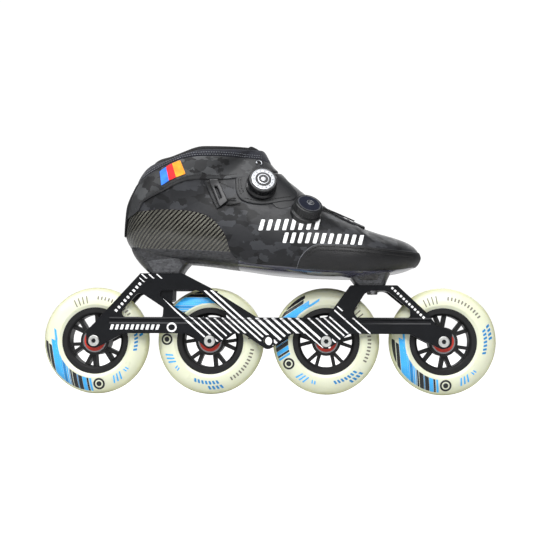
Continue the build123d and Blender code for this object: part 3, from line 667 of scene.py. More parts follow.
def cut_grid(surface, first, second, zone):
    """The part of a surface's grid inside a zone: coordinates, and faces and cut edges, wound outwards."""
    a, b = (grid.ravel() for grid in np.meshgrid(first, second, indexing="ij"))
    points = surface.point(a, b, np.zeros(len(a)))
    depth = zone(points)
    depth = np.where(np.abs(depth) < 1e-6, 1e-6, depth)
    ids = np.arange(len(a)).reshape(len(first), len(second))
    corners = np.stack([ids[:-1, :-1], ids[1:, :-1], ids[1:, 1:], ids[:-1, 1:]], axis=-1).reshape(-1, 4)
    count = (depth[corners] > 0).sum(axis=1)
    whole = corners[count == 4]
    extra_a, extra_b, crossings = [], [], {}

    def crossing(p, q):
        key = (min(p, q), max(p, q))
        if key not in crossings:
            share = depth[p] / (depth[p] - depth[q])
            extra_a.append(a[p] + (a[q] - a[p]) * share)
            extra_b.append(b[p] + (b[q] - b[p]) * share)
            crossings[key] = len(a) + len(extra_a) - 1
        return crossings[key]

    faces = [list(face) for face in whole]
    edges = []
    for face in corners[(count > 0) & (count < 4)]:
        ring = []
        for p, q in zip(face, np.roll(face, -1)):
            if depth[p] > 0:
                ring.append((int(p), None))
            if (depth[p] > 0) != (depth[q] > 0):
                ring.append((crossing(int(p), int(q)), depth[p] > 0))
        faces.append([vertex for vertex, _ in ring])
        for (p, leaving), (q, coming) in zip(ring, ring[1:] + ring[:1]):
            if leaving is not None and leaving and coming is not None and not coming:
                edges.append((p, q))
    a = np.concatenate([a, extra_a])
    b = np.concatenate([b, extra_b])
    used = np.unique([vertex for face in faces for vertex in face])
    renumber = np.zeros(len(a), int)
    renumber[used] = np.arange(len(used))
    faces = [[renumber[vertex] for vertex in face] for face in faces]
    edges = [(renumber[p], renumber[q]) for p, q in edges]
    a, b = a[used], b[used]
    flat = surface.point(a, b, np.zeros(len(a)))
    lifted = surface.point(a, b, np.full(len(a), 0.5))
    sample = faces[len(faces) // 2]
    turn = np.cross(flat[sample[1]] - flat[sample[0]], flat[sample[2]] - flat[sample[1]])
    if np.dot(turn, lifted[sample[1]] - flat[sample[1]]) < 0:
        faces = [face[::-1] for face in faces]
        edges = [(q, p) for p, q in edges]
    return a, b, faces, edges


def away_from(zone, points, normals):
    """Directions along the surface that lead out of the zone."""
    step = 0.05
    slope = np.zeros_like(points)
    for axis in range(3):
        shift = np.zeros(3)
        shift[axis] = step
        slope[:, axis] = zone(points - shift) - zone(points + shift)
    slope -= np.sum(slope * normals, axis=1, keepdims=True) * normals
    return slope / np.maximum(np.linalg.norm(slope, axis=1, keepdims=True), 1e-9)


def layer(name, surface, zone, material, top=0.0, base=-1.6, roll=None, relief=None, lined=False, steps=4,
          first=None, second=None, weave=False, join=True, **facts):
    """A layer of the given height range over the part of a surface inside a zone, with a rounded edge.

    relief(points, depth) adds to the height, depth being how far inside the zone each point lies.
    lined adds the inner face, weave the carbon cloth's coordinates."""
    first = surface.first if first is None else first
    second = surface.second if second is None else second
    a, b, faces, edges = cut_grid(surface, first, second, zone)
    flat = surface.point(a, b, np.zeros(len(a)))
    height = np.full(len(a), float(top))
    if relief is not None:
        height = height + relief(flat, np.maximum(zone(flat), 0.0))
    points = [surface.point(a, b, height)]
    faces = [list(face) for face in faces]
    roll = (top - base) / 2 if roll is None else roll
    rim = np.unique([vertex for edge in edges for vertex in edge]) if edges else np.array([], int)
    total = len(a)
    inner_of = {}
    if lined:
        points.append(surface.point(a, b, np.full(len(a), float(base))))
        faces += [[vertex + total for vertex in face[::-1]] for face in faces[:]]
        inner_of = {vertex: vertex + total for vertex in rim}
        total *= 2
    if len(rim):
        rim_a, rim_b = a[rim], b[rim]
        normals = surface.normal(rim_a, rim_b)
        out = away_from(zone, flat[rim], normals)
        rings = [{vertex: vertex for vertex in rim}]
        for k in range(1, steps + 1):
            angle = math.pi * k / steps
            if lined and k == steps:
                rings.append(inner_of)
                break
            ring_height = base + (height[rim] - base) * (0.5 + 0.5 * math.cos(angle))
            points.append(surface.point(rim_a, rim_b, ring_height) + out * roll * math.sin(angle))
            rings.append({vertex: total + k2 for k2, vertex in enumerate(rim)})
            total += len(rim)
        for upper, lower in zip(rings, rings[1:]):
            faces += [[upper[q], upper[p], lower[p], lower[q]] for p, q in edges]
    points = np.concatenate(points)
    obj = make_piece(name, points, faces, material, **facts)
    if weave:
        add_weave(obj)
    if join:
        join_seam(obj)
    return obj


def add_weave(obj):
    """Stores where each vertex lies on the carbon cloth, in mm: round the heel and forwards, and up.

    The heel is taken as a round of 34 mm about x = -100, and the cloth turns under below z = 128."""
    places = np.empty(len(obj.data.vertices) * 3)
    obj.data.vertices.foreach_get("co", places)
    x, y, z = places.reshape(-1, 3).T / MM
    reach, radius = x + 100.0, 34.0
    corner = np.arctan2(np.abs(y), np.maximum(-reach, 1e-6)) * radius
    along = np.where(reach < 0, corner, reach + math.pi / 2 * radius)
    under = np.clip((128.0 - z) / 8.0, 0.0, 1.0)
    values = np.stack([along, z + under * (np.abs(y) - 30.0), np.zeros(len(x))], axis=1)
    attribute = obj.data.attributes.new("weave", "FLOAT_VECTOR", "POINT")
    attribute.data.foreach_set("vector", values.astype(np.float32).ravel())


def join_seam(obj):
    """Welds the grid's first and last columns where they meet."""
    mesh = bmesh.new()
    mesh.from_mesh(obj.data)
    bmesh.ops.remove_doubles(mesh, verts=mesh.verts, dist=0.004 * MM)
    mesh.to_mesh(obj.data)
    mesh.free()


def frame_along(tangent, normal):
    """Unit axes along a line on a surface: forward, sideways and up."""
    forward = tangent / np.linalg.norm(tangent)
    side = np.cross(normal, forward)
    side /= np.linalg.norm(side)
    return forward, side, np.cross(forward, side)


def barrel_faces(start, rows, sides):
    """Faces of a closed round bar whose rings of places follow each other from the given index."""
    faces = []
    for row in range(rows - 1):
        for k in range(sides):
            here, following = start + row * sides + k, start + row * sides + (k + 1) % sides
            faces.append([here, following, following + sides, here + sides])
    faces.append([start + k for k in range(sides)][::-1])
    faces.append([start + (rows - 1) * sides + k for k in range(sides)])
    return faces


def tube(name, line, radius, material, sides=8, **facts):
    """A round thread along a line of places."""
    line = np.asarray(line, float)
    points = []
    tangents = np.gradient(line, axis=0)
    steep = abs(tangents[0][2]) >= 0.9 * np.linalg.norm(tangents[0])
    up = np.array([1.0, 0.0, 0.0]) if steep else np.array([0.0, 0.0, 1.0])
    for place, tangent in zip(line, tangents):
        _, side, up = frame_along(tangent, up)
        for k in range(sides):
            angle = 2 * math.pi * k / sides
            points.append(place + radius * (math.cos(angle) * side + math.sin(angle) * up))
    return make_piece(name, points, barrel_faces(0, len(line), sides), material, **facts)


def skin_line(points, side="outer", height=0.3, spacing=1.0):
    """Evenly spaced places and normals along a given line on the boot."""
    places = skin_places(smooth(points, 6) if len(points) > 2 else points, side)
    line = skin_point(places, height)
    reach = np.concatenate([[0.0], np.cumsum(np.linalg.norm(np.diff(line, axis=0), axis=1))])
    at = np.linspace(0.0, reach[-1], max(2, int(reach[-1] / spacing) + 1))
    places = np.stack([np.interp(at, reach, places[:, k]) for k in range(2)], axis=1)
    return skin_point(places, height), BOOT.normal(places[:, 0], places[:, 1], height)


def stitches(name, lines, pitch=2.4, length=1.7, radius=0.28, height=0.15, material=STITCH, side="outer",
             **facts):
    """Rows of thread stitches, each a short rounded bar pressed into the layer."""
    points, faces = [], []
    stations = [(-0.5, 0.25), (-0.42, 0.8), (-0.15, 1.0), (0.15, 1.0), (0.42, 0.8), (0.5, 0.25)]
    sides = 6
    for entry in lines:
        line, normals = skin_line(entry, side, height, pitch)
        for k in range(len(line) - 1):
            forward, across, up = frame_along(line[k + 1] - line[k], normals[k])
            start = len(points)
            for share, width in stations:
                middle = line[k] + forward * share * length + up * radius * 0.5 * (1 - abs(share))
                for j in range(sides):
                    angle = 2 * math.pi * j / sides
                    points.append(middle + radius * width * (math.cos(angle) * across + math.sin(angle) * up))
            faces += barrel_faces(start, len(stations), sides)
    return make_piece(name, points, faces, material, **facts)


def window(points, side="outer", margin=1.5, pitch=0.45):
    """Fine grid coordinates over the part of the skin that holds some places."""
    places = skin_places(points, side)
    low, high = places.min(axis=0), places.max(axis=0)
    girth = 240.0
    first = np.arange(low[0] - margin, high[0] + margin, pitch)
    second = np.arange(low[1] - margin / girth, high[1] + margin / girth, pitch / girth)
    return {"first": first, "second": second, "join": False}


# ---------------------------------------------------------------- boot
def wrinkle(points, line, height, width):
    """A soft ridge along a line seen from the side."""
    corners = np.array(line, float)
    nearest = np.full(len(points), 1e9)
    for start, end in zip(corners, corners[1:]):
        run = end - start
        offset = points[:, [0, 2]] - start
        share = np.clip(offset @ run / (run @ run), 0, 1)
        nearest = np.minimum(nearest, np.linalg.norm(offset - share[:, None] * run, axis=1))
    return height * np.exp(-((nearest / width) ** 2))


def upper_relief(points, depth):
    """Creases of the upper, and the raised seat under the lower dial on the outer side."""
    creases = [
        ([(82, 157.5), (90, 148), (96, 142)], 0.7, 2.2),
        ([(87, 158), (97, 149), (108, 143)], -0.5, 2.5),
        ([(-33, 178), (-22, 170), (-16, 160)], 0.5, 4.0),
        ([(52, 168), (62, 158), (70, 150)], 0.5, 3.0),
        ([(20, 190), (27, 180), (30, 172)], 0.6, 3.5),
    ]
    made = sum(wrinkle(points, line, height, width) for line, height, width in creases)
    seat = wrinkle(points, [(30, 160.5), (38, 159.5)], 3.4, 11.0) * (points[:, 1] < 0)
    return (made + seat) * np.minimum(depth / 2.0, 1.0)


def make_shell():
    """Twill on the shell's sides, a matt band of pressed chips low on the heel, and a glossy sole."""
    low_edge = [(-150, 137), (-128, 136), (-100, 135), (-70, 134), (-45, 132.5), (-33, 131), (-26, 124)]
    under_edge = below(low_edge)
    heel = band(0, -160, -27)
    low_band = all_of(under_edge, in_carbon, heel)
    sole = all_of(in_carbon, band(0, -27, 160))
    twill = all_of(in_carbon, outside(under_edge), heel)
    layer("carbon_shell_skin", BOOT, twill, CARBON, 0.0, -1.6, roll=0.2, weave=True, slot="carbon",
          replaces=["carbon_shell"])
    layer("carbon_shell_low_band", BOOT, low_band, FORGED, 0.2, -1.6, roll=0.2, slot="carbon")
    layer("carbon_shell_sole", BOOT, sole, SOLE_GLOSS, 0.0, -1.6, roll=0.2, slot="carbon")


def block_surface(low_z, low_x, low_half, high_z, high_x, high_half, bulge, flare):
    """A mounting block from its flat foot up into the sole: it bulges out behind and flares in front."""

    def point(level, around, height):
        behind = 1 - (1 - level) ** bulge
        ahead = level**flare
        left = low_x[0] + (high_x[0] - low_x[0]) * behind
        right = low_x[1] + (high_x[1] - low_x[1]) * ahead
        middle_x = (left + right) / 2
        half_x = (right - left) / 2 + height
        half_y = low_half + (high_half - low_half) * ahead + height
        angle = 2 * np.pi * around
        c, s = np.cos(angle), np.sin(angle)
        power = 5.0 - 2.8 * level
        size = (np.abs(c) ** power + np.abs(s) ** power) ** (-1 / power)
        z = low_z + (high_z - low_z) * level
        return np.stack([middle_x + half_x * c * size, half_y * s * size, z], axis=-1)

    return Surface(point, np.linspace(0.0, 1.0, 30), np.linspace(0.0, 1.0, 161))


def make_blocks():
    """The heel and toe blocks under the shell, with their recessed side panels."""
    heel = block_surface(113.0, (-111.6, -80.5), 18.0, 139.0, (-130.5, -52.0), 28.0, 1.6, 1.35)
    toe = block_surface(102.2, (81.4, 109.4), 18.0, 119.0, (66.0, 117.5), 28.0, 0.8, 1.25)
    everything = band(2, 0, 500)
    for name, block in (("heel_block", heel), ("toe_block", toe)):
        layer(name, block, everything, FORGED, 0.0, -1.0, slot="carbon")
    toe_panel = [(74.5, 114.6), (108.5, 114.6), (104.0, 104.2), (83.5, 104.2)]
    toe_pit = [(80.5, 112.3), (103.5, 112.3), (101.2, 106.6), (85.8, 106.6)]
    heel_panel = [(-112.5, 124.0), (-83.0, 127.0), (-80.0, 121.0), (-84.0, 114.6), (-106.5, 114.6)]
    facts = {"slot": "carbon", "first": np.linspace(0.0, 1.0, 70), "second": np.linspace(0.0, 1.0, 501)}
    for label, facing in (("outer", band(1, -90, -8)), ("inner", band(1, 8, 90))):
        rim = all_of(inside_of(toe_panel), outside(inside_of(toe_pit)), facing)
        layer(f"toe_block_rim_{label}", toe, rim, FORGED_EDGE, 0.7, -0.4, roll=0.4, **facts)
        pit = all_of(inside_of(toe_pit), facing)
        layer(f"toe_block_recess_{label}", toe, pit, FORGED_PIT, 0.12, -0.4, roll=0.1, **facts)
        panel = all_of(inside_of(heel_panel), facing)
        layer(f"heel_block_panel_{label}", heel, panel, FORGED_EDGE, 0.35, -0.4, roll=0.2, **facts)


def make_upper():
    """The upper and what is sewn on it: tongue, eyestays, toe bumper, cuff, heel strip and dial patch."""
    throat = all_of(band(0, 45, 81), band(1, -6.5, 6.5), band(2, 150, 260))
    zone = all_of(outside(in_carbon), outside(over_collar), outside(in_bumper), outside(throat))
    layer("upper_skin", BOOT, zone, UPPER, 0.0, -1.6, relief=upper_relief, slot="microfibre",
          replaces=["upper"])
    tongue = all_of(band(0, -15, 100), band(1, -24, 24), band(2, 140, 232))
    pad = layer("tongue_pad", BOOT, tongue, TONGUE, -2.0, -5.0, lined=True, slot="tongue_fabric",
                relief=lambda points, depth: 0.4 * np.sin(points[:, 0] / 1.3), replaces=["tongue"])
    for label, low, high in (("outer", -13.5, -6.3), ("inner", 6.3, 13.5)):
        stay = all_of(band(0, 41, 82.5), band(1, low, high), band(2, 150, 260))
        layer(f"eyestay_{label}", BOOT, stay, TONGUE, 1.7, -0.2, roll=0.8, slot="microfibre", steps=5,
              relief=lambda points, depth: 0.25 * np.sin(points[:, 0] / 0.9))
    bumper = all_of(in_bumper, outside(in_carbon))
    layer("toe_bumper_skin", BOOT, bumper, BUMPER, 0.7, -1.6, roll=0.7, slot="bumper_leather",
          replaces=["toe_bumper"])
    shape = dict(roll=0.8, slot="microfibre")
    cuff = all_of(over_cuff, outside(over_collar))
    layer("ankle_cuff_skin", BOOT, cuff, CUFF, 1.5, -0.2, replaces=["ankle_cuff"], **shape)

    def in_strip(points):
        return np.interp(points[:, 2], [149.0, 156.0, 170.0], [3.0, 8.0, 14.0]) - np.abs(points[:, 1])

    strip = all_of(in_strip, band(0, -160, -95), band(2, 149.5, 230), outside(over_collar))
    layer("heel_strip_skin", BOOT, strip, REAR_STRIP, 2.1, -0.2, replaces=["heel_strip"], **shape)
    patch = all_of(in_patch, outside(over_cuff))
    layer("dial_patch_skin", BOOT, patch, STRAP, 1.7, -0.2, replaces=["dial_patch"], **shape)
    under_edge = [(2, 181), (8, 173.2), (16, 172.4), (24, 175.2), (29, 180), (24, 186), (2, 181)]
    under = all_of(inside_of(smooth(under_edge)), band(1, -90, -5))
    layer("dial_patch_under_layer", BOOT, under, STRAP, 0.8, -0.2, roll=0.5, slot="microfibre",
          **window([(2, 172), (29, 172), (29, 187), (2, 187)]))


def make_collar():
    """The padded collar band and the liner's rolled edge inside it."""
    zone = all_of(over_collar, under_band_top)

    def crown(points, depth):
        return 2.2 * np.sqrt(1 - (1 - np.minimum(depth / 5.5, 1.0)) ** 2)

    collar = layer("collar_band_pad", BOOT, zone, COLLAR, 0.0, -3.6, roll=0.6, relief=crown, lined=True,
                   slot="lining", replaces=["collar_band"])
    lined = all_of(under_top, band(0, -160, 12), above([(-160, 150), (-90, 150), (-20, 158), (20, 176)]))
    liner = layer("liner_pad", BOOT, lined, LINER, -3.7, -7.7, lined=True, steps=8, slot="lining",
                  replaces=["padded_liner", "ankle_padding"])


def make_trims():
    """The three-colour ribbon, the cuff's lace hook on its tab, the vamp's lace guide, and the eyelet."""
    strips = [
        [(-98.8, 207.0), (-92.9, 211.0), (-90.1, 197.7), (-96.9, 193.5)],
        [(-92.9, 211.0), (-87.3, 214.0), (-83.6, 200.6), (-90.1, 197.7)],
        [(-87.3, 214.0), (-80.2, 216.4), (-75.3, 203.6), (-83.6, 200.6)],
    ]
    fine = window([point for strip in strips for point in strip])
    for name, outline, material in zip(("blue", "red", "orange"), strips, RIBBON):
        piece = layer(f"ribbon_{name}", BOOT, all_of(inside_of(outline), band(1, -90, 0)), material, 2.3, 1.2,
                      roll=0.15, slot="ribbon", **fine)
        if name == "blue":
            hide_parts("ribbon_tab")
    outline = [(-54.4, 197.6), (-47.2, 197.9), (-37.4, 178.6), (-43.6, 173.8)]
    slot = inside_of([(-50.6, 192.6), (-46.8, 192.2), (-41.6, 181.2), (-44.4, 179.2)])
    hook = all_of(inside_of(outline), outside(slot), band(1, -90, 0))
    layer("lace_hook", BOOT, hook, GUIDE, 3.9, 0.0, roll=0.9, steps=6, slot="guide_plastic",
          replaces=["cuff_lace_hook"], **window(outline))
    tab = [
        (-58.5, 197.0), (-50.5, 198.0), (-48.6, 193.0), (-43.0, 181.0), (-40.8, 175.5), (-46.5, 172.0),
        (-52.5, 184.0),
    ]
    in_tab = all_of(inside_of(tab), outside(slot), band(1, -90, 0))
    layer("lace_hook_tab", BOOT, in_tab, STRAP, 1.5, -0.1, roll=0.5, slot="microfibre", **window(tab))
    guide = all_of(band(0, 80.9, 89.5), band(1, -10.5, 4.5), band(2, 140, 200))
    layer("vamp_guide", BOOT, guide, GUIDE, 2.3, -0.4, roll=0.9, steps=6, slot="guide_plastic", join=False,
          replaces=["vamp_lace_guide"], first=np.arange(60, 120, 0.8), second=np.linspace(0.35, 0.65, 120))
    eyelet_at = on_skin(-9.5, 214.6)[None, :]
    centre = skin_point(eyelet_at, 2.0)[0]
    normal = BOOT.normal(eyelet_at[:, 0], eyelet_at[:, 1], 2.0)[0]
    forward, side, _ = frame_along(np.array([1.0, 0.0, 0.0]) - normal[0] * normal, normal)
    angles = np.radians(np.linspace(-40, 215, 40))
    ring = [centre + 2.6 * (math.cos(t) * forward + math.sin(t) * side) + 0.2 * normal for t in angles]
    tube("eyelet", ring, 0.75, SILVER, sides=10, slot="eyelet_metal", replaces=["eyelet_ring"])


def make_stitching():
    """Rows of thread on the collar, bumper, cuff, dial patch and hook tab, and the piping."""
    collar_rows = [raised(COLLAR_EDGE[1:-1], lift) for lift in (2.2, 4.3)]
    bumper = BUMPER_EDGE[1:-1] + [(134, 132.8)]
    bumper_rows = [raised([(x, z) for x, z in bumper if x >= 36], -drop) for drop in (1.6, 4.6)]
    cuff = [(-118.5, 178.6), (-95.8, 191.2), (-83.8, 197.2), (-66.8, 202.5), (-48.3, 202.3), (-27.6, 204.4)]
    for side in ("outer", "inner"):
        stitches(f"collar_stitching_{side}", collar_rows, height=1.75, pitch=2.3, length=1.5, radius=0.36,
                 side=side, material=PALE_STITCH, slot="lining")
        stitches(f"bumper_stitching_{side}", bumper_rows, height=0.9, radius=0.5, side=side,
                 slot="bumper_leather")
        stitches(f"cuff_stitching_{side}", [cuff], height=1.5, side=side, slot="microfibre")
    patch_rows = [
        [(-27.6, 198.5), (-26.6, 189.3), (-22.9, 183.4)],
        [(-25.4, 198.5), (-24.4, 190.6), (-20.9, 185.4)],
        [(-20.5, 181.2), (-12.5, 179.3), (-2.5, 178.4), (10.5, 180.8), (22, 182.6)],
    ]
    long_stitch = {"pitch": 2.6, "length": 1.9, "slot": "microfibre"}
    stitches("patch_stitching", patch_rows, height=1.75, radius=0.38, **long_stitch)
    strap_row = [(-45.6, 199.0), (-29.7, 190.2)]
    stitches("strap_stitching", [strap_row], height=0.2, slot="microfibre")
    tab_rows = [[(-55.5, 196.0), (-49.6, 184.0), (-45.8, 174.4)], [(-50.4, 178.5), (-46.0, 172.8)]]
    stitches("hook_tab_stitching", tab_rows, height=1.55, radius=0.4, **long_stitch)
    edge = [(27.2, 117.0), (30.3, 125.5), (36, 132.4), (43, 137.0), (52, 138.2), (81, 136.8)]
    line, _ = skin_line(edge, height=0.5)
    tube("bumper_piping", line, 0.3, PALE_STITCH, slot="bumper_leather")
    for label, side in (("outer", -1), ("inner", 1)):
        edge = [(43, 9.5 * side), (56, 10.2 * side), (68, 11.4 * side), (80, 12.5 * side)]
        line, _ = skin_line(edge, side="top", height=0.2)
        tube(f"eyestay_piping_{label}", line, 0.45, PALE_STITCH, slot="microfibre")


def slanted_bars(left, right, low, high, count, lean, share):
    """A row of slanted bars, evenly spaced, as closed outlines."""
    pitch = (right - left - lean) / count
    bars = []
    for k in range(count):
        x = left + k * pitch
        bars.append([(x, low), (x + pitch * share, low), (x + pitch * share + lean, high), (x + lean, high)])
    return bars


def make_boot_print():
    """Two rows of plain white bars on each side, in place of lettering."""
    upper_row = slanted_bars(-8.0, 52.5, 151.2, 161.2, 8, 2.6, 0.5)
    level_row = slanted_bars(14.0, 92.0, 139.4, 149.0, 11, 2.6, 0.5)
    lower_row = [[(x, z - 0.022 * (x - 15.0)) for x, z in bar] for bar in level_row]
    for side, facing in (("outer", band(1, -90, 0)), ("inner", band(1, 0, 90))):
        zone = all_of(any_of(*(inside_of(bar) for bar in upper_row + lower_row)), facing, outside(in_bumper))
        layer(f"boot_print_{side}", BOOT, zone, WHITE_PRINT, 0.12, -0.1, roll=0.0, steps=1, slot="microfibre",
              relief=lambda points, depth: upper_relief(points, depth + 9.0),
              **window([(-8, 150), (53, 163), (94, 136), (13, 137), (-8, 163), (94, 149)], side, pitch=0.7))


# ---------------------------------------------------------------- frame prints
def frame_face(side):
    """The plates' outer faces: a bead and groove along the rail, the legs above and the ears below."""

    def point(x, z, height):
        levels = [66.0, 67.4, 69.4, 70.0, 71.0, 72.0]
        depth = np.interp(z, levels, [RAIL_OUT, LEG_OUT, LEG_OUT, 18.0, 18.0, LEG_OUT])
        return np.stack([x, side * (depth + height), z], axis=-1)

    return Surface(point, np.arange(-126, 132, 0.9), np.arange(38.0, 114.0, 0.7))


def oval(x, z, half_x, half_z):
    angles = np.linspace(0, 2 * math.pi, 24, endpoint=False)
    return [(x + half_x * math.cos(t), z + half_z * math.sin(t)) for t in angles]


def make_frame_prints():
    """White slanted stripes, and plain bars and dots where a frame carries lettering."""
    fall = -0.89
    low, high = RAIL_LOW + 0.4, RAIL_TOP - 0.3
    rail = inside_of([(-80, low), (-80, high), (95.5, high), (95.5, low)])
    ears = []
    for x, low in ((AXLE_X[1], 43.6), (0.0, 43.4), (AXLE_X[2], 43.6)):
        ears.append(inside_of([(x - 20, RAIL_LOW + 1), (x - 3, low), (x + 3, low), (x + 20, RAIL_LOW + 1)]))
    foot = RAIL_TOP - 1
    legs = [
        [(-98.5, 90.0), (-80, foot), (-70.6, foot), (-97.6, 92.6)],
        [(-64.6, 96.2), (-55.5, 99.6), (-11.5, foot), (-38.0, foot), (-40.4, 79.2)],
        [(56.0, foot), (68.0, 88.0), (78.6, 80.0), (82.0, foot)],
        [(-120.4, 108.4), (-118.9, 112.5), (-82, 112.5), (-82, 108.0), (-108, 108.0), (-116.0, 104.5)],
    ]
    face_zone = any_of(rail, *ears, *(inside_of(leg) for leg in legs))
    # Stripes as (x where the line crosses the rail's top, high end, low end, width).
    stripes = [
        (-79.1, 90.0, 53.2, 1.6), (-71.7, 73.0, 49.5, 1.5), (-65.0, 71.8, 51.0, 1.5),
        (-57.6, 71.8, 53.4, 1.4), (-50.3, 71.8, 55.8, 1.4), (-43.0, 71.8, 57.0, 1.5),
        (-37.0, 78.6, 57.4, 1.6), (-31.0, 97.0, 50.0, 1.8),
        (-24.6, 97.2, 46.0, 1.9), (-18.4, 71.8, 43.0, 2.4), (-11.0, 71.8, 43.0, 2.4),
        (-3.6, 71.8, 43.5, 2.4), (3.9, 71.8, 49.0, 2.3), (11.4, 71.8, 57.4, 2.3), (18.9, 71.8, 44.0, 2.4),
        (26.5, 71.8, 42.0, 2.4), (37.0, 71.8, 48.8, 1.5), (44.6, 72.0, 51.4, 1.5), (52.0, 73.1, 54.6, 1.5),
        (58.0, 74.2, 56.8, 1.5), (69.6, 84.0, 56.8, 1.4), (76.2, 84.6, 78.0, 1.3), (78.5, 71.8, 56.8, 1.4),
        (-72.9, 112.6, 108.0, 1.2), (-66.2, 112.6, 108.0, 1.2), (-58.8, 112.4, 108.0, 1.2),
        (-79.1, 110.1, 104.7, 1.2),
    ]
    bars = []
    for at, high, low, width in stripes:
        high_x, low_x = at + (high - RAIL_TOP) / fall, at + (low - RAIL_TOP) / fall
        half = width / 2 / math.cos(math.atan(fall))
        bars.append([(high_x - half, high), (high_x + half, high), (low_x + half, low), (low_x - half, low)])
    caption = slanted_bars(-147.5, -98.5, 60.4, 65.2, 10, 1.4, 0.56)
    rear_row, front_row = [], []
    for k in range(9):
        x, z = -143.6 + 2.75 * k, 78.3 + 3.1 * k
        rear_row.append([(x, z), (x + 2.1, z - 1.8), (x + 3.5, z - 0.2), (x + 1.4, z + 1.6)])
    for k in range(12):
        x, z = 113.8 + 2.6 * k, 99.4 - 2.45 * k
        front_row.append([(x, z), (x + 1.5, z + 1.5), (x + 3.1, z), (x + 1.6, z - 1.5)])
    badge = all_of(inside_of(oval(-89.5, 62.6, 4.7, 4.4)), outside(inside_of(oval(-89.5, 62.6, 3.2, 2.9))))
    clear_axles = []
    for x in [*AXLE_X, 0.0]:
        clear_axles.append(lambda points, x=x: np.hypot(points[:, 0] - x, points[:, 2] - AXLE_Z) - 5.8)
    stripe_zone = all_of(any_of(*(inside_of(bar) for bar in bars)), face_zone, *clear_axles)
    caption_zone = any_of(*(inside_of(bar) for bar in caption), badge)
    row_zone = any_of(*(inside_of(bar) for bar in rear_row + front_row))
    fine = {"first": np.arange(-126, 97, 0.55), "second": np.arange(40.0, 113.6, 0.55), "join": False}
    caption_grid = {"first": np.arange(-153, -83, 0.5), "second": np.arange(57.5, 68.6, 0.5), "join": False}
    row_grid = {"first": np.arange(-146, 150, 0.5), "second": np.arange(70.5, 105.0, 0.5), "join": False}
    for label, side in (("outer", -1), ("inner", 1)):
        for kind, zone, grid in (
            ("stripes", stripe_zone, fine),
            ("caption", caption_zone, caption_grid),
            ("marks", row_zone, row_grid),
        ):
            layer(f"frame_{kind}_{label}", frame_face(side), zone, WHITE_PRINT, 0.06, -0.02, roll=0.0,
                  steps=1, slot="frame_alloy", **grid)


# ---------------------------------------------------------------- wheel prints
def flank(x, side):
    """One flank of a tyre. Coordinates are the angle seen from the outer side, in turns, and the radius."""

    def point(turn, radius, height):
        share = np.clip((radius - TYRE_CROWN_R) / (WHEEL_R - TYRE_CROWN_R), 0.0, 1.0)
        angle = 2 * np.pi * turn
        y = side * (TYRE_HALF * np.sqrt(1 - share**2) + height)
        return np.stack([x + radius * np.cos(angle), y, AXLE_Z + radius * np.sin(angle)], axis=-1)

    return Surface(point, np.linspace(0.0, 1.0, 500), np.arange(34.6, 48.6, 0.5))


def turned_about(x, degrees):
    """Wheel coordinates: along the streaks and across them, with the wheel's own turn taken out."""
    angle = math.radians(degrees)

    def local(points):
        dx, dz = points[:, 0] - x, points[:, 2] - AXLE_Z
        return dx * math.cos(angle) + dz * math.sin(angle), -dx * math.sin(angle) + dz * math.cos(angle)

    return local


def local_zone(local, outline):
    """A zone inside an outline given in wheel coordinates."""
    zone = inside_of(outline)

    def made(points):
        p, q = local(points)
        return zone(np.stack([p, np.zeros(len(p)), q], axis=-1))

    return made


def polar_bars(start, end, low, high, count, share, lean=0.0):
    """Bars spread round an arc, as outlines in wheel coordinates. Angles are in degrees."""
    bars = []
    step = (end - start) / count
    for k in range(count):
        a, b = start + k * step, start + (k + share) * step
        bars.append([
            (r * math.cos(math.radians(t)), r * math.sin(math.radians(t)))
            for t, r in ((a, low), (b, low), (b + lean, high), (a + lean, high))
        ])
    return bars


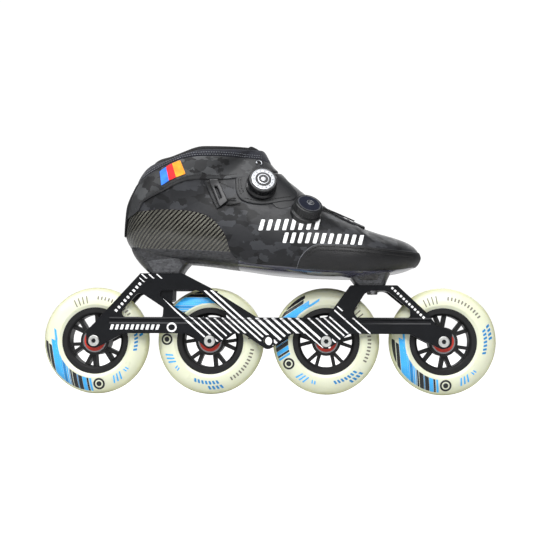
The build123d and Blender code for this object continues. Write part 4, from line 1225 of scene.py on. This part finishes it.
def make_wheel_prints():
    """Plain dashes, bars, a ring badge and slanted streaks on both flanks of every tyre."""
    turns = {"rear": 98.0, "mid_rear": 0.0, "mid_front": 33.0, "front": 95.0}
    bands = []
    reach = 8.0
    while reach < 46.5:
        width = random.choice([0.8, 1.4, 2.0, 2.8, 3.6])
        bands.append((reach, reach + width, random.choice(["black", "sky", "black", "sky", "blue"]),
                      random.uniform(-56, -44), random.uniform(0, 15)))
        reach += width + random.choice([0.2, 0.3, 0.6])
    inks = {"black": BLACK_INK, "sky": SKY_INK, "blue": BLUE_INK}
    for name, x in zip(WHEEL_NAMES, AXLE_X):
        for label, side in (("outer", -1), ("inner", 1)):
            local = turned_about(x, turns[name])
            surface = flank(x, side)
            facts = dict(roll=0.0, steps=1, slot="urethane", body=f"{name}_wheel")
            ring = lambda points, x=x: np.minimum(
                np.hypot(points[:, 0] - x, points[:, 2] - AXLE_Z) - 35.4,
                47.4 - np.hypot(points[:, 0] - x, points[:, 2] - AXLE_Z),
            )
            for ink, material in inks.items():
                outlines = [
                    [(start, low), (end, low), (end + 2.5, high), (start + 2.5, high)]
                    for low, high, colour, start, end in bands
                    if colour == ink
                ]
                zone = all_of(any_of(*(local_zone(local, outline) for outline in outlines)), ring)
                layer(f"{name}_streaks_{ink}_{label}", surface, zone, material, 0.05, -0.05, **facts)
            caption = polar_bars(-61.0, -8.0, 38.5, 42.0, 11, 0.45)
            grey = [local_zone(local, bar) for bar in caption + polar_bars(3.0, 25.0, 35.5, 43.0, 4, 0.3)]
            dashes = all_of(any_of(*grey), ring)
            layer(f"{name}_dashes_{label}", surface, dashes, GREY_INK, 0.05, -0.05, **facts)
            marks = polar_bars(-113.0, -77.0, 37.2, 40.6, 7, 0.6, 2.0)
            marks += polar_bars(-93.0, -73.0, 42.0, 45.4, 4, 0.6, 2.0)
            blue = [local_zone(local, bar) for bar in marks]
            layer(f"{name}_bars_{label}", surface, any_of(*blue), BLUE_INK, 0.05, -0.05, **facts)
            strokes = polar_bars(-160.0, -145.0, 37.0, 44.0, 3, 0.45, -4.0)
            strokes += polar_bars(-143.5, -136.0, 38.0, 41.5, 2, 0.5, 1.0)
            pale = [local_zone(local, bar) for bar in strokes]
            layer(f"{name}_strokes_{label}", surface, any_of(*pale), SKY_INK, 0.05, -0.05, **facts)
            badge_turn = math.radians(178.0)
            middle = (40.6 * math.cos(badge_turn), 40.6 * math.sin(badge_turn))

            def disc(points, radius, local=local):
                p, q = local(points)
                return radius - np.hypot(p - middle[0], q - middle[1])

            layer(f"{name}_badge_{label}", surface, lambda p: disc(p, 5.4), BLACK_INK, 0.09, -0.05, **facts)
            rim = lambda p: np.minimum(disc(p, 3.6), -disc(p, 2.4))
            layer(f"{name}_badge_ring_{label}", surface, rim, TYRE, 0.13, -0.05, **facts)


# ---------------------------------------------------------------- dials and laces
DIALS = {
    "upper": {"at": (-6.2, -29.6, 193.2), "axis": (0.22, -0.88, 0.42)},
    "lower": {"at": (35.0, -35.4, 167.4), "axis": (0.30, -0.66, 0.69)},
}
KNOB_FACE_HEIGHT = 11.9


def lathe(name, dial, profile, material, body, centre=(0.0, 0.0), sides=64, **facts):
    """A ring turned about a dial's axis from (radius, height) points, at an offset across the face."""
    axis = np.array(DIALS[dial]["axis"])
    axis /= np.linalg.norm(axis)
    side = np.cross([0.0, 0.0, 1.0], axis)
    side /= np.linalg.norm(side)
    up = np.cross(axis, side)
    origin = np.array(DIALS[dial]["at"]) + centre[0] * side + centre[1] * up
    points, faces = [], []
    for k in range(sides):
        angle = 2 * math.pi * k / sides
        spoke = math.cos(angle) * side + math.sin(angle) * up
        points += [origin + radius * spoke + height * axis for radius, height in profile]
    rows = len(profile)
    for k in range(sides):
        here, following = k * rows, (k + 1) % sides * rows
        faces += [[here + j, following + j, following + j + 1, here + j + 1] for j in range(rows - 1)]
    return make_piece(name, points, faces, material, body=body, **facts)


def make_dial_faces():
    """Raised rings and dots on the dials' caps, and the lip round each base."""
    top = KNOB_FACE_HEIGHT
    badge = (1.6, 1.2)
    for name, dial, centre, material, profile in (
        ("upper_dial_inlay", "upper", (0, 0), BLACK_INK, [(7.4, -0.1), (7.4, 0.12), (0.001, 0.12)]),
        ("upper_dial_ring", "upper", (0, 0), SILVER, [(5.4, 0.0), (5.3, 0.5), (4.4, 0.6), (4.2, 0.0)]),
        ("upper_dial_boss", "upper", (0, 0), SILVER, [(2.4, 0.0), (2.2, 0.6), (0.8, 0.8), (0.001, 0.8)]),
        ("upper_dial_rim", "upper", (0, 0), SILVER, [(10.9, -0.5), (10.9, 0.15), (10.3, 0.25), (10.1, 0.0)]),
        ("lower_dial_badge", "lower", badge, SILVER, [(3.5, 0.0), (3.4, 0.25), (2.6, 0.3), (2.5, 0.05)]),
        ("lower_dial_badge_dot", "lower", badge, SILVER, [(1.5, 0.0), (1.4, 0.25), (0.001, 0.3)]),
        ("lower_dial_rim", "lower", (0, 0), PALE_PLASTIC,
         [(10.9, -0.5), (10.9, 0.1), (10.3, 0.2), (9.9, 0.0)]),
    ):
        raised_profile = [(radius, top + height) for radius, height in profile]
        lathe(name, dial, raised_profile, material, f"{dial}_knob", centre=centre, slot="dial_cap")
    for k in range(14):
        angle = 2 * math.pi * k / 14
        spot = (8.8 * math.cos(angle), 8.8 * math.sin(angle))
        lathe(f"upper_dial_dot_{k}", "upper", [(0.5, top), (0.5, top + 0.12), (0.001, top + 0.12)], BLACK_INK,
              "upper_knob", centre=spot, sides=12, slot="dial_cap")
    for dial in DIALS:
        lip = [(13.9, 1.0), (14.4, 1.3), (14.4, 1.9), (13.9, 2.3)]
        lathe(f"{dial}_dial_base_lip", dial, lip, GUIDE, "root", slot="dial_plastic")


def make_socket_painted_shade():
    """Painted shade: dark hexagons at the bottom of the hex sockets in the axle heads, where the sockets'
    shade falls.
    """
    points, faces = [], []
    for x in AXLE_X:
        start = len(points)
        for k in range(6):
            angle = math.pi / 3 * k
            points.append((x + 2.3 * math.cos(angle), -16.4, AXLE_Z + 2.3 * math.sin(angle)))
        faces.append([start + k for k in range(6)])
    # A flat black sheet in each socket stands in for the shade inside it.
    make_piece("axle_socket_painted_shade", points, faces, BLACK_INK, slot="axle_alloy")


# The laces' routes, with the CAD's own points: the upper lace between dial and hook, the lower one from its
# dial to the guide.
UPPER_LACE = [
    [(-28.9, -35.9, 181.0), (-33.5, -35.4, 180.8), (-37.7, -35.0, 180.3)],
    [(-24.6, -36.4, 176.9), (-31.0, -35.8, 175.4), (-38.0, -35.2, 175.6)],
]
LOWER_LACE = [
    [(46.1, -27.8, 172.5), (59.0, -10.0, 172.2), (80.6, -5.6, 163.0)],
    [(47.2, -23.6, 174.6), (60.0, -4.6, 172.9), (80.6, -1.4, 163.1)],
]
LACE_R = 0.6


def lace_curve(name, points):
    """A thin lace as a NURBS curve along its CAD run."""
    curve = bpy.data.curves.new(name, "CURVE")
    curve.dimensions = "3D"
    curve.bevel_depth = LACE_R * MM
    curve.bevel_resolution = 3
    curve.resolution_u = 12
    spline = curve.splines.new("NURBS")
    spline.points.add(len(points) - 1)
    for target, place in zip(spline.points, points):
        target.co = (*(c * MM for c in place), 1.0)
    spline.order_u = 3
    spline.use_endpoint_u = True
    curve.materials.append(LACE)
    obj = bpy.data.objects.new(name, curve)
    bpy.context.scene.collection.objects.link(obj)
    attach(obj, "root")
    return obj


def make_laces():
    for k, run in enumerate(UPPER_LACE):
        piece = lace_curve(f"upper_lace_run_{k + 1}", run)
        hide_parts("upper_lace")
    for k, run in enumerate(LOWER_LACE):
        piece = lace_curve(f"lower_lace_run_{k + 1}", run)
        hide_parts("lower_lace")


# ---------------------------------------------------------------- camera, light and floor
def make_camera():
    """Stands about 1.08 m off the outer side, just above wheel height, and looks slightly up."""
    place = Vector((0.04532, -1.07678, 0.05863))
    yaw, pitch, roll = -0.0410, 0.0542, 0.0036
    forward = Vector((math.sin(yaw) * math.cos(pitch), math.cos(yaw) * math.cos(pitch), math.sin(pitch)))
    level = forward.cross(Vector((0, 0, 1))).normalized()
    rise = level.cross(forward)
    right = level * math.cos(roll) + rise * math.sin(roll)
    up = rise * math.cos(roll) - level * math.sin(roll)
    camera = bpy.data.objects.new("camera", bpy.data.cameras.new("camera"))
    camera.data.sensor_width = 36.0
    camera.data.lens = 76.08
    camera.data.clip_end = 50.0
    camera.matrix_world = Matrix([
        (right.x, up.x, -forward.x, place.x),
        (right.y, up.y, -forward.y, place.y),
        (right.z, up.z, -forward.z, place.z),
        (0, 0, 0, 1),
    ])
    bpy.context.scene.collection.objects.link(camera)
    bpy.context.scene.camera = camera


def soft_light(name, place, aim, size, power):
    """A rectangular light; power is in watts, the rest in metres."""
    light = bpy.data.lights.new(name, "AREA")
    light.shape = "RECTANGLE"
    light.size, light.size_y = size
    light.energy = power
    obj = bpy.data.objects.new(name, light)
    obj.location = place
    obj.rotation_euler = (Vector(aim) - Vector(place)).to_track_quat("-Z", "Y").to_euler()
    bpy.context.scene.collection.objects.link(obj)


def make_studio():
    """White surroundings as the camera sees them, a softer grey as the skate does, and large soft lights."""
    world = bpy.data.worlds.new("studio")
    bpy.context.scene.world = world
    world.use_nodes = True
    tree = world.node_tree
    tree.nodes.clear()
    output = tree.nodes.new("ShaderNodeOutputWorld")
    seen = tree.nodes.new("ShaderNodeBackground")
    seen.inputs["Color"].default_value = (1, 1, 1, 1)
    seen.inputs["Strength"].default_value = 1.05
    lit = tree.nodes.new("ShaderNodeBackground")
    lit.inputs["Color"].default_value = (0.95, 0.97, 1.0, 1)
    lit.inputs["Strength"].default_value = 0.14
    path = tree.nodes.new("ShaderNodeLightPath")
    choose = tree.nodes.new("ShaderNodeMixShader")
    tree.links.new(path.outputs["Is Camera Ray"], choose.inputs[0])
    tree.links.new(lit.outputs[0], choose.inputs[1])
    tree.links.new(seen.outputs[0], choose.inputs[2])
    tree.links.new(choose.outputs[0], output.inputs["Surface"])
    soft_light("key", (0.1, -1.2, 0.95), (0.0, 0.0, 0.1), (1.2, 0.5), 15.0)
    soft_light("strip", (-0.25, -0.85, 1.15), (-0.1, 0.0, 0.15), (1.3, 0.1), 9.0)
    soft_light("overhead", (-0.05, -0.42, 1.3), (-0.05, 0.0, 0.12), (1.6, 0.45), 9.0)
    soft_light("side", (-1.1, -0.45, 0.85), (-0.1, 0.0, 0.15), (0.5, 0.25), 4.5)
    soft_light("back", (0.4, 1.2, 0.9), (0.0, 0.0, 0.12), (1.2, 0.8), 6.0)
    bpy.context.scene.view_settings.view_transform = "Standard"


def make_floor():
    """A plain pale floor that looks white to the camera and lights the skate more softly."""
    shader = Shader("pale_floor", (0.5, 0.5, 0.5), 0.9, Specular_IOR_Level=0.1)
    shader.surface.inputs["Emission Color"].default_value = (1, 1, 1, 1)
    path = shader.node("LightPath")
    shader.feed("Emission Strength", shader.span(path.outputs["Is Camera Ray"], 0.22, 1.1))
    half, level = 200.0, -0.0004
    corners = [(-half, -half, level), (half, -half, level), (half, half, level), (-half, half, level)]
    mesh = bpy.data.meshes.new("floor")
    mesh.from_pydata(corners, [], [(0, 1, 2, 3)])
    mesh.materials.append(shader.material)
    floor = bpy.data.objects.new("floor", mesh)
    bpy.context.scene.collection.objects.link(floor)


finish_cad_nodes()
make_shell()
make_blocks()
make_upper()
make_collar()
make_trims()
make_stitching()
make_boot_print()
make_frame_prints()
make_wheel_prints()
make_dial_faces()
make_socket_painted_shade()
make_laces()
make_camera()
make_studio()
make_floor()
